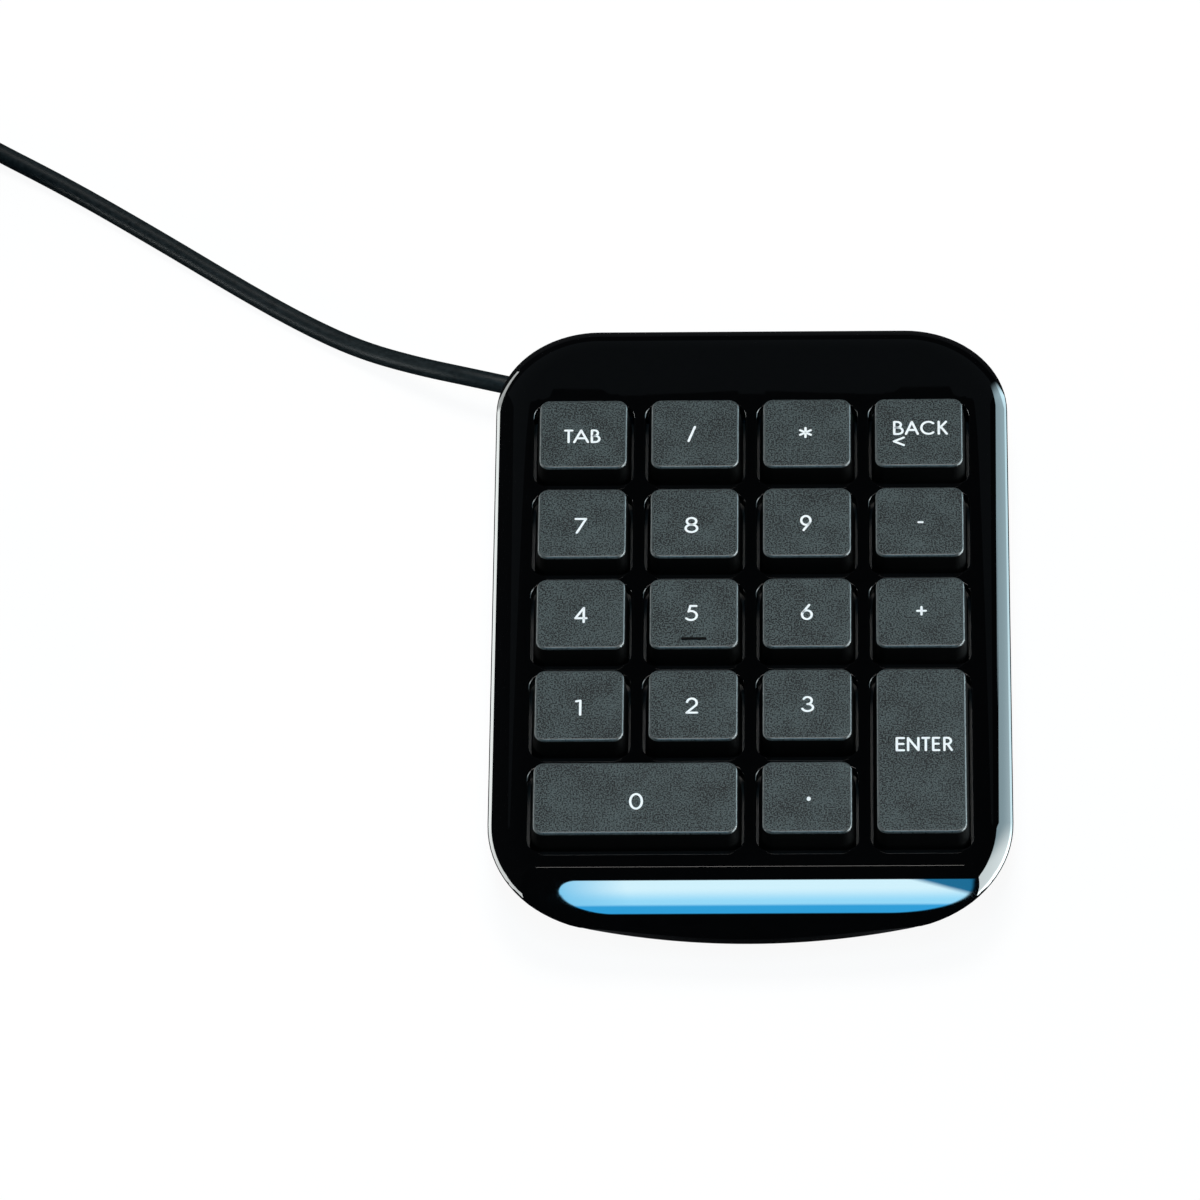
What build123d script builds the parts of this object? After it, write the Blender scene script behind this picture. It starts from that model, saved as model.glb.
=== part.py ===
from build123d import *
import os
from math import asin, atan, atan2, cos, degrees, pi, radians, sin, sqrt, tan

# Wired numeric keypad. Millimetres, +Z up, +Y away from the user.
# The origin lies on the desk under the middle of the housing.

os.makedirs("parts", exist_ok=True)

# ---------------------------------------------------------------- driving sizes

# Housing in plan
BODY_WIDTH = 87.3
BODY_LENGTH = 124.5
FRONT_BOW_RADIUS = 117.0
FRONT_CORNER_RADIUS = 22.0
BACK_CORNER_RADIUS = 17.5

# Housing heights above the desk
FOOT_STANDOFF = 1.0
PARTING_HEIGHT = 8.0
DECK_HEIGHT = 15.5

# Housing shells
SHELL_WALL = 2.0
SHOULDER_RADIUS = 4.0
HULL_TUCK = 6.0
FLOOR_THICKNESS = 1.4
LIP_HEIGHT = 1.2
LIP_WALL = 1.1
LIP_CLEARANCE = 0.1

# Chin: the convex slope in front of the keys
CHIN_DEPTH = 10.4
CHIN_START_ANGLE = 17.8
CHIN_RADIUS = 27.0
CHIN_OVERRUN = 1.0
CUTTER_ROOM = 5.0

# Key field: the grid of keys fills the housing between these borders
COLUMNS = 4
ROWS = 5
SIDE_BORDER = 5.65
FRONT_BORDER = 12.7
BACK_BORDER = 16.8
KEY_GAP_ACROSS = 4.2
KEY_GAP_ALONG = 4.5
KEY_TOP_CORNER = 1.7
KEY_RISE = 3.2
KEY_SKIRT_BOTTOM = 12.8
KEY_DRAFT = 6.5
KEY_WALL = 1.2
KEY_ROOF = 1.3
KEY_EDGE = 0.3
KEY_TRAVEL = 3.0
HOMING_OFFSET = 5.4
HOMING_LENGTH = 4.3
HOMING_WIDTH = 0.7
HOMING_RISE = 0.3
OPENING_BAR = 2.0
OPENING_CORNER = 2.2

# Plunger and chimney, square with cut corners
PLUNGER_SIZE = 6.0
PLUNGER_CORNER = 0.8
PLUNGER_CLEARANCE = 0.25
CHIMNEY_WALL = 1.0
CHIMNEY_HEIGHT = 1.9
CHIMNEY_CORNER = 1.2
HOOK_REACH = 0.55
HOOK_HEIGHT = 0.8
HOOK_WIDTH = 2.0
CAP_RIB = 1.0
CAP_RIB_DEPTH = 2.3

# Contact stack, from the floor up
BACKPLATE_THICKNESS = 0.5
FILM_THICKNESS = 0.15
DOME_BASE = 0.5
DOME_HEIGHT = 3.75
DOME_RADIUS = 4.8
DOME_TOP_RADIUS = 2.7
DOME_WALL = 0.7
CONTACT_HOLE_RADIUS = 2.6
DOME_GAP = 0.1
MODULE_SIDE_MARGIN = 7.3
MODULE_MARGIN = 7.4
MODULE_INSET = 7.6

# Guide plate
WEB_GAP = 0.3
WEB_THICKNESS = 1.2
WEB_SIDE_MARGIN = 10.5
WEB_FRONT_MARGIN = 8.3
WEB_BACK_MARGIN = 9.2
WEB_INSET = 3.4
GUIDE_SKIRT = 1.2
STAKE_RADIUS = 1.0
STAKE_CLEARANCE = 0.2
SPACER_PIN = 1.6

# Stabiliser wires of the two long keys
WIRE_DIAMETER = 1.2
WIRE_END_INSET = 3.3
WIRE_END_INSET_ALONG = 3.15
WIRE_BAR_OFFSET = 5.3
WIRE_ARM = 7.5
WIRE_TIP = 2.7
WIRE_BEND = 1.3
WIRE_REST_RISE = 3.7
WIRE_CLEARANCE = 0.15
HOLDER_WIDTH = 2.0
HOLDER_WALLS = 0.8
HOLDER_INSET = 6.1
EAR_THICKNESS = 1.0
EAR_INSET = 2.0
EAR_SLOT_HEIGHT = 1.7
EAR_SLOT_CLEARANCE = 0.3
EAR_LIP = 0.45

# Fasteners and feet
CASE_SCREW_X_FRONT = 19.0
CASE_SCREW_FRONT_INSET = 10.75
CASE_SCREW_X_BACK = 21.0
CASE_SCREW_BACK_INSET = 8.85
SCREW_SHANK_RADIUS = 1.1
SCREW_HEAD_RADIUS = 2.2
SCREW_HEAD_HEIGHT = 1.6
SCREW_LENGTH = 8.0
SCREW_RECESS_DEPTH = 2.0
SCREW_TIP_ROOM = 0.5
COVER_BOSS_RADIUS = 2.6
TRAY_POST_RADIUS = 3.2
BORE_CLEARANCE = 0.05
FOOT_RADIUS = 5.0
FOOT_THICKNESS = 1.5
FOOT_SIDE_INSET = 15.65
FOOT_END_INSET = 20.25

# Controller board
BOARD_HALF_WIDTH = 17.5
BOARD_DEPTH = 9.6
BOARD_BACK_INSET = 7.05
BOARD_THICKNESS = 1.6
BOARD_SCREW_X = 15.4
BOARD_SCREW_INSET = 2.2
BOARD_SCREW_RADIUS = 0.8
BOARD_SCREW_HEAD = 1.6
BOARD_SCREW_HEAD_HEIGHT = 1.1
BOARD_SCREW_LENGTH = 3.0
BOARD_POST_RADIUS = 2.0
TAIL_HALF_WIDTH = 11.0
CHIP_X = 1.0
CHIP_WIDTH = 10.3
CHIP_DEPTH = 5.4
CHIP_HEIGHT = 1.8
CHIP_EDGE = 0.4
RESONATOR_X = 11.0
RESONATOR_RADIUS = 2.2
RESONATOR_LENGTH = 6.5
RESONATOR_HEIGHT = 3.0
CONNECTOR_X = -13.5
CONNECTOR_WIDTH = 5.0
CONNECTOR_DEPTH = 4.4
CONNECTOR_ROOF = 0.2

# Cord
CORD_DIAMETER = 3.2
CORD_EXIT_ANGLE = 15.5
CORD_EXIT_PLACE = 35.5
CORD_EXIT_HEIGHT = 7.4
GROMMET_LENGTH = 4.9
GROMMET_NECK = 2.3
GROMMET_FLANGE = 2.9
GROMMET_STEP = 1.2
GROMMET_RECESS = 0.2
GROMMET_ROOM = 3.0
GROMMET_OVERRUN = 1.2
LEAD_INSET = 2.6
LEAD_RUN = 9.2
LEAD_SLANT = 35.0
LEAD_BEND = 12.0

# Coil and plug
COIL_CENTRE = (-160.0, 106.0)
COIL_TURN_ANGLE = 53.13
COIL_OUTER_RADIUS = 20.65
COIL_PITCH = 3.65
COIL_LIFT = 2.45
COIL_HALF_TURNS = 4
COIL_LAYERS = 4
COIL_SHIFT = 0.6
COIL_LEAD_IN = 12.0
COIL_LEAD_OUT = 9.0
PLUG_LEAD_IN = 10.0
EXIT_RUN = 8.0
TIE_WIDTH = 6.0
TIE_THICKNESS = 0.6
TIE_CLEARANCE = 0.8
TIE_HEIGHT_ROOM = 0.4
TIE_CORNER = 1.4
PLUG_X = -148.7
PLUG_Y = 38.8
PLUG_HEIGHT = 4.0
NECK_LENGTH = 9.0
NECK_START_WALL = 0.9
NECK_END_WALL = 1.8
NECK_OVERLAP = 1.0
GRIP_WIDTH = 15.6
GRIP_DEPTH = 7.8
GRIP_LENGTH = 25.0
GRIP_CORNER = 2.4
GRIP_CHAMFER = 0.6
SHELL_WIDTH = 12.0
SHELL_DEPTH = 4.5
SHELL_LENGTH = 18.7
SHELL_SHEET = 0.35
WINDOW_SIZE = 2.2
WINDOW_SPACING = 5.2
WINDOW_DISTANCE = 8.4
TONGUE_DEPTH = 1.9
TONGUE_LENGTH = 18.1
CONTACT_WIDTH = 1.1
CONTACT_PITCH = 2.3
CONTACT_THICKNESS = 0.25
CONTACT_DISTANCE = 7.5
CONTACT_LENGTH = 9.35

# ---------------------------------------------------------------- derived levels

FRONT_Y = -BODY_LENGTH / 2
BACK_Y = BODY_LENGTH / 2
HALF_WIDTH = BODY_WIDTH / 2
CHIN_CREASE_Y = FRONT_Y + CHIN_DEPTH
COLUMN_PITCH = (BODY_WIDTH - 2 * SIDE_BORDER) / COLUMNS
ROW_PITCH = (BODY_LENGTH - FRONT_BORDER - BACK_BORDER) / ROWS
KEY_FIELD_Y = FRONT_Y + FRONT_BORDER + ROWS * ROW_PITCH / 2
KEY_TOP_WIDTH = COLUMN_PITCH - KEY_GAP_ACROSS
KEY_TOP_DEPTH = ROW_PITCH - KEY_GAP_ALONG
DECK_UNDERSIDE = DECK_HEIGHT - SHELL_WALL
FLOOR_TOP = FOOT_STANDOFF + FLOOR_THICKNESS
HULL_HEIGHT = PARTING_HEIGHT - FOOT_STANDOFF
HULL_ANGLE = degrees(atan(HULL_TUCK / HULL_HEIGHT))

BACKPLATE_TOP = FLOOR_TOP + BACKPLATE_THICKNESS
SPACER_BOTTOM = BACKPLATE_TOP + FILM_THICKNESS
UPPER_BOTTOM = SPACER_BOTTOM + FILM_THICKNESS
FILM_TOP = UPPER_BOTTOM + FILM_THICKNESS
DOME_BASE_TOP = FILM_TOP + DOME_BASE
DOME_TOP = FILM_TOP + DOME_HEIGHT

PLUNGER_BOTTOM = DOME_TOP + DOME_GAP
WEB_BOTTOM = PLUNGER_BOTTOM + HOOK_HEIGHT + WEB_GAP
WEB_TOP = WEB_BOTTOM + WEB_THICKNESS
CHIMNEY_TOP = WEB_TOP + CHIMNEY_HEIGHT
KEY_TOP = DECK_HEIGHT + KEY_RISE
KEY_CEILING = KEY_TOP - KEY_ROOF
CAP_RIB_BOTTOM = KEY_CEILING - CAP_RIB_DEPTH
KEY_HEIGHT = KEY_TOP - KEY_SKIRT_BOTTOM
KEY_FLARE = KEY_HEIGHT * tan(radians(KEY_DRAFT))

WIRE_RADIUS = WIRE_DIAMETER / 2
WIRE_BAR_Z = WEB_TOP + WIRE_CLEARANCE + WIRE_RADIUS
WIRE_TIP_Z = WIRE_BAR_Z + WIRE_REST_RISE
WIRE_REACH_REST = sqrt(WIRE_ARM**2 - WIRE_REST_RISE**2)
WIRE_REACH_PRESSED = sqrt(WIRE_ARM**2 - (WIRE_REST_RISE - KEY_TRAVEL) ** 2)

SCREW_SEAT = FOOT_STANDOFF + SCREW_RECESS_DEPTH
BOARD_BOTTOM = FILM_TOP
BOARD_TOP = BOARD_BOTTOM + BOARD_THICKNESS
BOARD_BACK_Y = BACK_Y - BOARD_BACK_INSET
BOARD_FRONT_Y = BOARD_BACK_Y - BOARD_DEPTH
BOARD_MIDDLE_Y = (BOARD_FRONT_Y + BOARD_BACK_Y) / 2
LEAD_Y = BOARD_FRONT_Y + LEAD_INSET
CORD_RADIUS = CORD_DIAMETER / 2
COIL_RADIUS_INSIDE = COIL_OUTER_RADIUS - COIL_HALF_TURNS * COIL_PITCH / 2

# One row for each key: name, column, row counted from the back, units wide, units deep
KEYS = [
    ("tab", 0, 0, 1, 1), ("divide", 1, 0, 1, 1), ("multiply", 2, 0, 1, 1), ("back", 3, 0, 1, 1),
    ("7", 0, 1, 1, 1), ("8", 1, 1, 1, 1), ("9", 2, 1, 1, 1), ("minus", 3, 1, 1, 1),
    ("4", 0, 2, 1, 1), ("5", 1, 2, 1, 1), ("6", 2, 2, 1, 1), ("plus", 3, 2, 1, 1),
    ("1", 0, 3, 1, 1), ("2", 1, 3, 1, 1), ("3", 2, 3, 1, 1), ("enter", 3, 3, 1, 2),
    ("0", 0, 4, 2, 1), ("point", 2, 4, 1, 1),
]


def key_centre(column, row, wide, deep):
    """Plan position of a key's middle; a long key covers two cells of the grid."""
    x = (column + wide / 2 - COLUMNS / 2) * COLUMN_PITCH
    y = KEY_FIELD_Y + (ROWS / 2 - row - deep / 2) * ROW_PITCH
    return x, y


KEY_CENTRES = [key_centre(*cell) for _, *cell in KEYS]
ZERO_CENTRE = key_centre(0, 4, 2, 1)
ENTER_CENTRE = key_centre(3, 3, 1, 2)
FIRST_ROW_Y = KEY_FIELD_Y - 2 * ROW_PITCH
LAST_ROW_Y = KEY_FIELD_Y + 2 * ROW_PITCH
MODULE_HALF_WIDTH = 1.5 * COLUMN_PITCH + MODULE_SIDE_MARGIN
MODULE_FRONT_Y = FIRST_ROW_Y - MODULE_MARGIN
MODULE_BACK_Y = LAST_ROW_Y + MODULE_MARGIN
WEB_HALF_WIDTH = 1.5 * COLUMN_PITCH + WEB_SIDE_MARGIN
STAKES = [
    (x * COLUMN_PITCH, KEY_FIELD_Y + y * ROW_PITCH)
    for x, y in ((-1, 1.5), (1, 1.5), (0, 0.5), (-1, -0.5), (1, -0.5), (0, -1.5))
]
SPACER_PINS = [
    (x * COLUMN_PITCH, KEY_FIELD_Y + y * ROW_PITCH)
    for x, y in ((0, 1.5), (-1, 0.5), (1, 0.5), (0, -0.5), (-1, -1.5), (1, -1.5))
]
CASE_SCREWS = [(side * CASE_SCREW_X_FRONT, FRONT_Y + CASE_SCREW_FRONT_INSET) for side in (-1, 1)]
CASE_SCREWS += [(side * CASE_SCREW_X_BACK, BACK_Y - CASE_SCREW_BACK_INSET) for side in (-1, 1)]
BOARD_SCREWS = [(side * BOARD_SCREW_X, BOARD_BACK_Y - BOARD_SCREW_INSET) for side in (-1, 1)]
FOOT_SPACING = (BODY_WIDTH - 2 * FOOT_SIDE_INSET, BODY_LENGTH - 2 * FOOT_END_INSET)

# The cord leaves through the back left corner, turned a little towards the side
CORNER_CENTRE = Vector(BACK_CORNER_RADIUS - HALF_WIDTH, BACK_Y - BACK_CORNER_RADIUS, CORD_EXIT_HEIGHT)
EXIT_NORMAL = Vector(-cos(radians(CORD_EXIT_PLACE)), sin(radians(CORD_EXIT_PLACE)), 0)
EXIT_DIRECTION = Vector(-cos(radians(CORD_EXIT_ANGLE)), sin(radians(CORD_EXIT_ANGLE)), 0)
CORD_EXIT = CORNER_CENTRE + EXIT_NORMAL * (BACK_CORNER_RADIUS - GROMMET_RECESS)
GROMMET_START = CORD_EXIT - EXIT_DIRECTION * GROMMET_LENGTH


def save(builder, name):
    builder.part.label = name
    export_step(builder.part, f"parts/{name}.step")


def outline(inset):
    """The housing's plan outline, drawn a constant distance inside its widest edge."""
    bow_centre = FRONT_Y + FRONT_BOW_RADIUS
    corner_x = HALF_WIDTH - FRONT_CORNER_RADIUS
    corner_y = bow_centre - sqrt((FRONT_BOW_RADIUS - FRONT_CORNER_RADIUS) ** 2 - corner_x**2)
    bow_angle = degrees(atan2(corner_x, bow_centre - corner_y))
    back_x = HALF_WIDTH - BACK_CORNER_RADIUS
    back_y = BACK_Y - BACK_CORNER_RADIUS
    with BuildSketch() as plan:
        with BuildLine():
            CenterArc((0, bow_centre), FRONT_BOW_RADIUS - inset, -90 - bow_angle, 2 * bow_angle)
            CenterArc((corner_x, corner_y), FRONT_CORNER_RADIUS - inset, bow_angle - 90, 90 - bow_angle)
            CenterArc((-corner_x, corner_y), FRONT_CORNER_RADIUS - inset, 180, 90 - bow_angle)
            CenterArc((back_x, back_y), BACK_CORNER_RADIUS - inset, 0, 90)
            CenterArc((-back_x, back_y), BACK_CORNER_RADIUS - inset, 90, 90)
            Line((HALF_WIDTH - inset, corner_y), (HALF_WIDTH - inset, back_y))
            Line((inset - HALF_WIDTH, corner_y), (inset - HALF_WIDTH, back_y))
            Line((back_x, BACK_Y - inset), (-back_x, BACK_Y - inset))
        make_face()
    return plan.sketch


def bounded_outline(inset, half_width, front_y, back_y):
    """The outline's inner copy, cut to a rectangle: the shape of the plates inside."""
    with BuildSketch() as plan:
        add(outline(inset))
        with Locations((0, (front_y + back_y) / 2)):
            Rectangle(2 * half_width, back_y - front_y, mode=Mode.INTERSECT)
    return plan.sketch


def cut_square(size, corner):
    """A square with cut corners."""
    with BuildSketch() as square:
        Rectangle(size, size)
        chamfer(square.vertices(), corner)
    return square.sketch


def chin_cutter(depth):
    """The space in front of and above the chin surface, moved inwards by `depth`."""
    start = Vector(0, CHIN_CREASE_Y, DECK_HEIGHT)
    tilt = radians(CHIN_START_ANGLE)
    centre = start - Vector(0, -sin(tilt), cos(tilt)) * CHIN_RADIUS
    radius = CHIN_RADIUS - depth
    sweep = degrees(asin((centre.Y - FRONT_Y + CHIN_OVERRUN) / CHIN_RADIUS)) - CHIN_START_ANGLE
    above = DECK_HEIGHT + CUTTER_ROOM
    with BuildPart() as cutter:
        with BuildSketch(Plane.YZ):
            with BuildLine():
                slope = CenterArc((centre.Y, centre.Z), radius, 90 + CHIN_START_ANGLE, sweep)
                crest = slope @ 0
                toe = slope @ 1
                Polyline(
                    crest,
                    (crest.X + (above - crest.Y) * tan(tilt), above),
                    (FRONT_Y - CUTTER_ROOM, above),
                    (FRONT_Y - CUTTER_ROOM, toe.Y),
                    toe,
                )
            make_face()
        extrude(amount=BODY_WIDTH, both=True)
    return cutter.part


def cover_block(inset):
    """The top cover's outer form, or the cavity within it when drawn inset."""
    with BuildPart() as block:
        with BuildSketch(Plane.XY.offset(PARTING_HEIGHT)):
            add(outline(inset))
        extrude(amount=DECK_HEIGHT - inset - PARTING_HEIGHT)
        fillet(block.faces().sort_by(Axis.Z)[-1].edges(), SHOULDER_RADIUS - inset)
        add(chin_cutter(inset), mode=Mode.SUBTRACT)
    return block.part


def hull_block(inset, bottom):
    """The tray's outer form, which draws in towards the desk, or the hollow within it."""
    tuck = (PARTING_HEIGHT - bottom) * HULL_TUCK / HULL_HEIGHT
    with BuildPart() as block:
        with BuildSketch(Plane.XY.offset(bottom)):
            add(outline(inset + tuck))
        extrude(amount=PARTING_HEIGHT - bottom, taper=-HULL_ANGLE)
    return block.part


def opening_size(wide, deep):
    return wide * COLUMN_PITCH - OPENING_BAR, deep * ROW_PITCH - OPENING_BAR


# ---------------------------------------------------------------- covers

# Stepped notch that the grommet sits in, half in each cover
with BuildPart() as cord_notch:
    with BuildSketch(Plane(GROMMET_START - EXIT_DIRECTION * GROMMET_ROOM, z_dir=EXIT_DIRECTION)):
        Circle(GROMMET_FLANGE + BORE_CLEARANCE)
    extrude(amount=GROMMET_ROOM + GROMMET_STEP + BORE_CLEARANCE)
    with BuildSketch(Plane(GROMMET_START, z_dir=EXIT_DIRECTION)):
        Circle(GROMMET_NECK + BORE_CLEARANCE)
    extrude(amount=GROMMET_LENGTH + GROMMET_ROOM)

# Top cover: one moulding with a round shoulder, an opening for each key and a sloping chin
with BuildPart() as top_cover:
    add(cover_block(0))
    add(cover_block(SHELL_WALL), mode=Mode.SUBTRACT)
    # rabbet that takes the tray's lip
    with BuildSketch(Plane.XY.offset(PARTING_HEIGHT)):
        add(outline(LIP_WALL - LIP_CLEARANCE))
    extrude(amount=LIP_HEIGHT + LIP_CLEARANCE, mode=Mode.SUBTRACT)
    # key openings
    with BuildSketch(Plane.XY.offset(DECK_UNDERSIDE)):
        for (*_, wide, deep), centre in zip(KEYS, KEY_CENTRES):
            with Locations(centre):
                RectangleRounded(*opening_size(wide, deep), OPENING_CORNER)
    extrude(amount=SHELL_WALL, mode=Mode.SUBTRACT)
    # screw bosses, and pins that hold the guide plate down
    with BuildSketch(Plane.XY.offset(PARTING_HEIGHT)):
        with Locations(*CASE_SCREWS):
            Circle(COVER_BOSS_RADIUS)
    extrude(amount=DECK_UNDERSIDE - PARTING_HEIGHT)
    with BuildSketch(Plane.XY.offset(WEB_TOP)):
        with Locations(*SPACER_PINS):
            Rectangle(SPACER_PIN, SPACER_PIN)
    extrude(amount=DECK_UNDERSIDE - WEB_TOP)
    with BuildSketch(Plane.XY.offset(PARTING_HEIGHT)):
        with Locations(*CASE_SCREWS):
            Circle(SCREW_SHANK_RADIUS + BORE_CLEARANCE)
    extrude(amount=SCREW_SEAT + SCREW_LENGTH + SCREW_TIP_ROOM - PARTING_HEIGHT, mode=Mode.SUBTRACT)
    add(cord_notch.part, mode=Mode.SUBTRACT)
save(top_cover, "top_cover")

# Bottom cover: a tray with tucked-in sides, screw posts and recesses for the feet
with BuildPart() as bottom_cover:
    add(hull_block(0, FOOT_STANDOFF))
    add(hull_block(SHELL_WALL, FLOOR_TOP), mode=Mode.SUBTRACT)
    with BuildSketch(Plane.XY.offset(PARTING_HEIGHT)):
        add(outline(LIP_WALL))
        add(outline(SHELL_WALL), mode=Mode.SUBTRACT)
    extrude(amount=LIP_HEIGHT)
    with BuildSketch(Plane.XY.offset(FLOOR_TOP)):
        with Locations(*CASE_SCREWS):
            Circle(TRAY_POST_RADIUS)
    extrude(amount=PARTING_HEIGHT - FLOOR_TOP)
    with BuildSketch(Plane.XY.offset(FLOOR_TOP)):
        with Locations(*BOARD_SCREWS):
            Circle(BOARD_POST_RADIUS)
    extrude(amount=BOARD_BOTTOM - FLOOR_TOP)
    with BuildSketch(Plane.XY.offset(FOOT_STANDOFF)):
        with Locations(*CASE_SCREWS):
            Circle(SCREW_HEAD_RADIUS + LIP_CLEARANCE)
    extrude(amount=SCREW_RECESS_DEPTH, mode=Mode.SUBTRACT)
    with BuildSketch(Plane.XY.offset(FOOT_STANDOFF)):
        with Locations(*CASE_SCREWS):
            Circle(SCREW_SHANK_RADIUS + BORE_CLEARANCE)
    extrude(amount=PARTING_HEIGHT - FOOT_STANDOFF, mode=Mode.SUBTRACT)
    with BuildSketch(Plane.XY.offset(BOARD_TOP - BOARD_SCREW_LENGTH)):
        with Locations(*BOARD_SCREWS):
            Circle(BOARD_SCREW_RADIUS + BORE_CLEARANCE)
    extrude(amount=BOARD_SCREW_LENGTH, mode=Mode.SUBTRACT)
    with BuildSketch(Plane.XY.offset(FOOT_STANDOFF)):
        with GridLocations(*FOOT_SPACING, 2, 2):
            Circle(FOOT_RADIUS + LIP_CLEARANCE)
    extrude(amount=FOOT_THICKNESS - FOOT_STANDOFF, mode=Mode.SUBTRACT)
    add(cord_notch.part, mode=Mode.SUBTRACT)
save(bottom_cover, "bottom_cover")

with BuildPart() as rubber_feet:
    with BuildSketch():
        with GridLocations(*FOOT_SPACING, 2, 2):
            Circle(FOOT_RADIUS)
    extrude(amount=FOOT_THICKNESS)
save(rubber_feet, "rubber_feet")

with BuildPart() as case_screws:
    with BuildSketch(Plane.XY.offset(SCREW_SEAT - SCREW_HEAD_HEIGHT)):
        with Locations(*CASE_SCREWS):
            Circle(SCREW_HEAD_RADIUS)
    extrude(amount=SCREW_HEAD_HEIGHT)
    with BuildSketch(Plane.XY.offset(SCREW_SEAT)):
        with Locations(*CASE_SCREWS):
            Circle(SCREW_SHANK_RADIUS)
    extrude(amount=SCREW_LENGTH)
save(case_screws, "case_screws")

# ---------------------------------------------------------------- contact stack


def module_sheet(bottom, thickness, tail, holes=()):
    """A plate or film as large as the key module, with holes for the guide's stakes."""
    with BuildPart() as sheet:
        with BuildSketch(Plane.XY.offset(bottom)):
            add(bounded_outline(MODULE_INSET, MODULE_HALF_WIDTH, MODULE_FRONT_Y, MODULE_BACK_Y))
            if tail:
                with Locations((0, (MODULE_BACK_Y + BOARD_BACK_Y - SHELL_WALL) / 2)):
                    Rectangle(2 * TAIL_HALF_WIDTH, BOARD_BACK_Y - SHELL_WALL - MODULE_BACK_Y)
            with Locations(*STAKES):
                Circle(STAKE_RADIUS + STAKE_CLEARANCE, mode=Mode.SUBTRACT)
            if holes:
                with Locations(*holes):
                    Circle(CONTACT_HOLE_RADIUS, mode=Mode.SUBTRACT)
        extrude(amount=thickness)
    return sheet


backplate = module_sheet(FLOOR_TOP, BACKPLATE_THICKNESS, tail=False)
save(backplate, "backplate")
membrane_lower = module_sheet(BACKPLATE_TOP, FILM_THICKNESS, tail=True)
save(membrane_lower, "membrane_lower")
membrane_spacer = module_sheet(SPACER_BOTTOM, FILM_THICKNESS, tail=False, holes=KEY_CENTRES)
save(membrane_spacer, "membrane_spacer")
membrane_upper = module_sheet(UPPER_BOTTOM, FILM_THICKNESS, tail=False)
save(membrane_upper, "membrane_upper")

# Dome sheet: one silicone mat with a hollow dome under each key
with BuildPart() as dome:
    with BuildSketch(Plane.XZ):
        with BuildLine():
            Polyline(
                (0, DOME_HEIGHT),
                (DOME_TOP_RADIUS, DOME_HEIGHT),
                (DOME_TOP_RADIUS, DOME_HEIGHT - DOME_WALL),
                (DOME_RADIUS, DOME_BASE),
                (DOME_RADIUS, 0),
                (DOME_RADIUS - DOME_WALL, 0),
                (DOME_TOP_RADIUS - DOME_WALL, DOME_HEIGHT - 2 * DOME_WALL),
                (0, DOME_HEIGHT - 2 * DOME_WALL),
                close=True,
            )
        make_face()
    revolve(axis=Axis.Z)

with BuildPart() as dome_sheet:
    add(module_sheet(FILM_TOP, DOME_BASE, tail=False).part)
    with BuildSketch(Plane.XY.offset(FILM_TOP)):
        with Locations(*KEY_CENTRES):
            Circle(DOME_RADIUS - DOME_WALL)
    extrude(amount=DOME_BASE, mode=Mode.SUBTRACT)
    with Locations(*[(x, y, FILM_TOP) for x, y in KEY_CENTRES]):
        add(dome.part)
save(dome_sheet, "dome_sheet")

# ---------------------------------------------------------------- guide plate


def wire_spot(centre, turned, along, across):
    """A point beside a long key: `along` its length and `across` it."""
    x, y = (-across, along) if turned else (along, across)
    return centre[0] + x, centre[1] + y


# Middle, whether it runs away from the user, and half the length of the wire's bar
LONG_KEYS = [
    (ZERO_CENTRE, False, (KEY_TOP_WIDTH + COLUMN_PITCH) / 2 - WIRE_END_INSET),
    (ENTER_CENTRE, True, (KEY_TOP_DEPTH + ROW_PITCH) / 2 - WIRE_END_INSET_ALONG),
]
EAR_FRONT = WIRE_BAR_OFFSET - WIRE_REACH_PRESSED - WIRE_RADIUS - EAR_THICKNESS - EAR_SLOT_CLEARANCE
EAR_BACK = WIRE_BAR_OFFSET - WIRE_REACH_REST + WIRE_RADIUS + EAR_THICKNESS + EAR_SLOT_CLEARANCE

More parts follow.
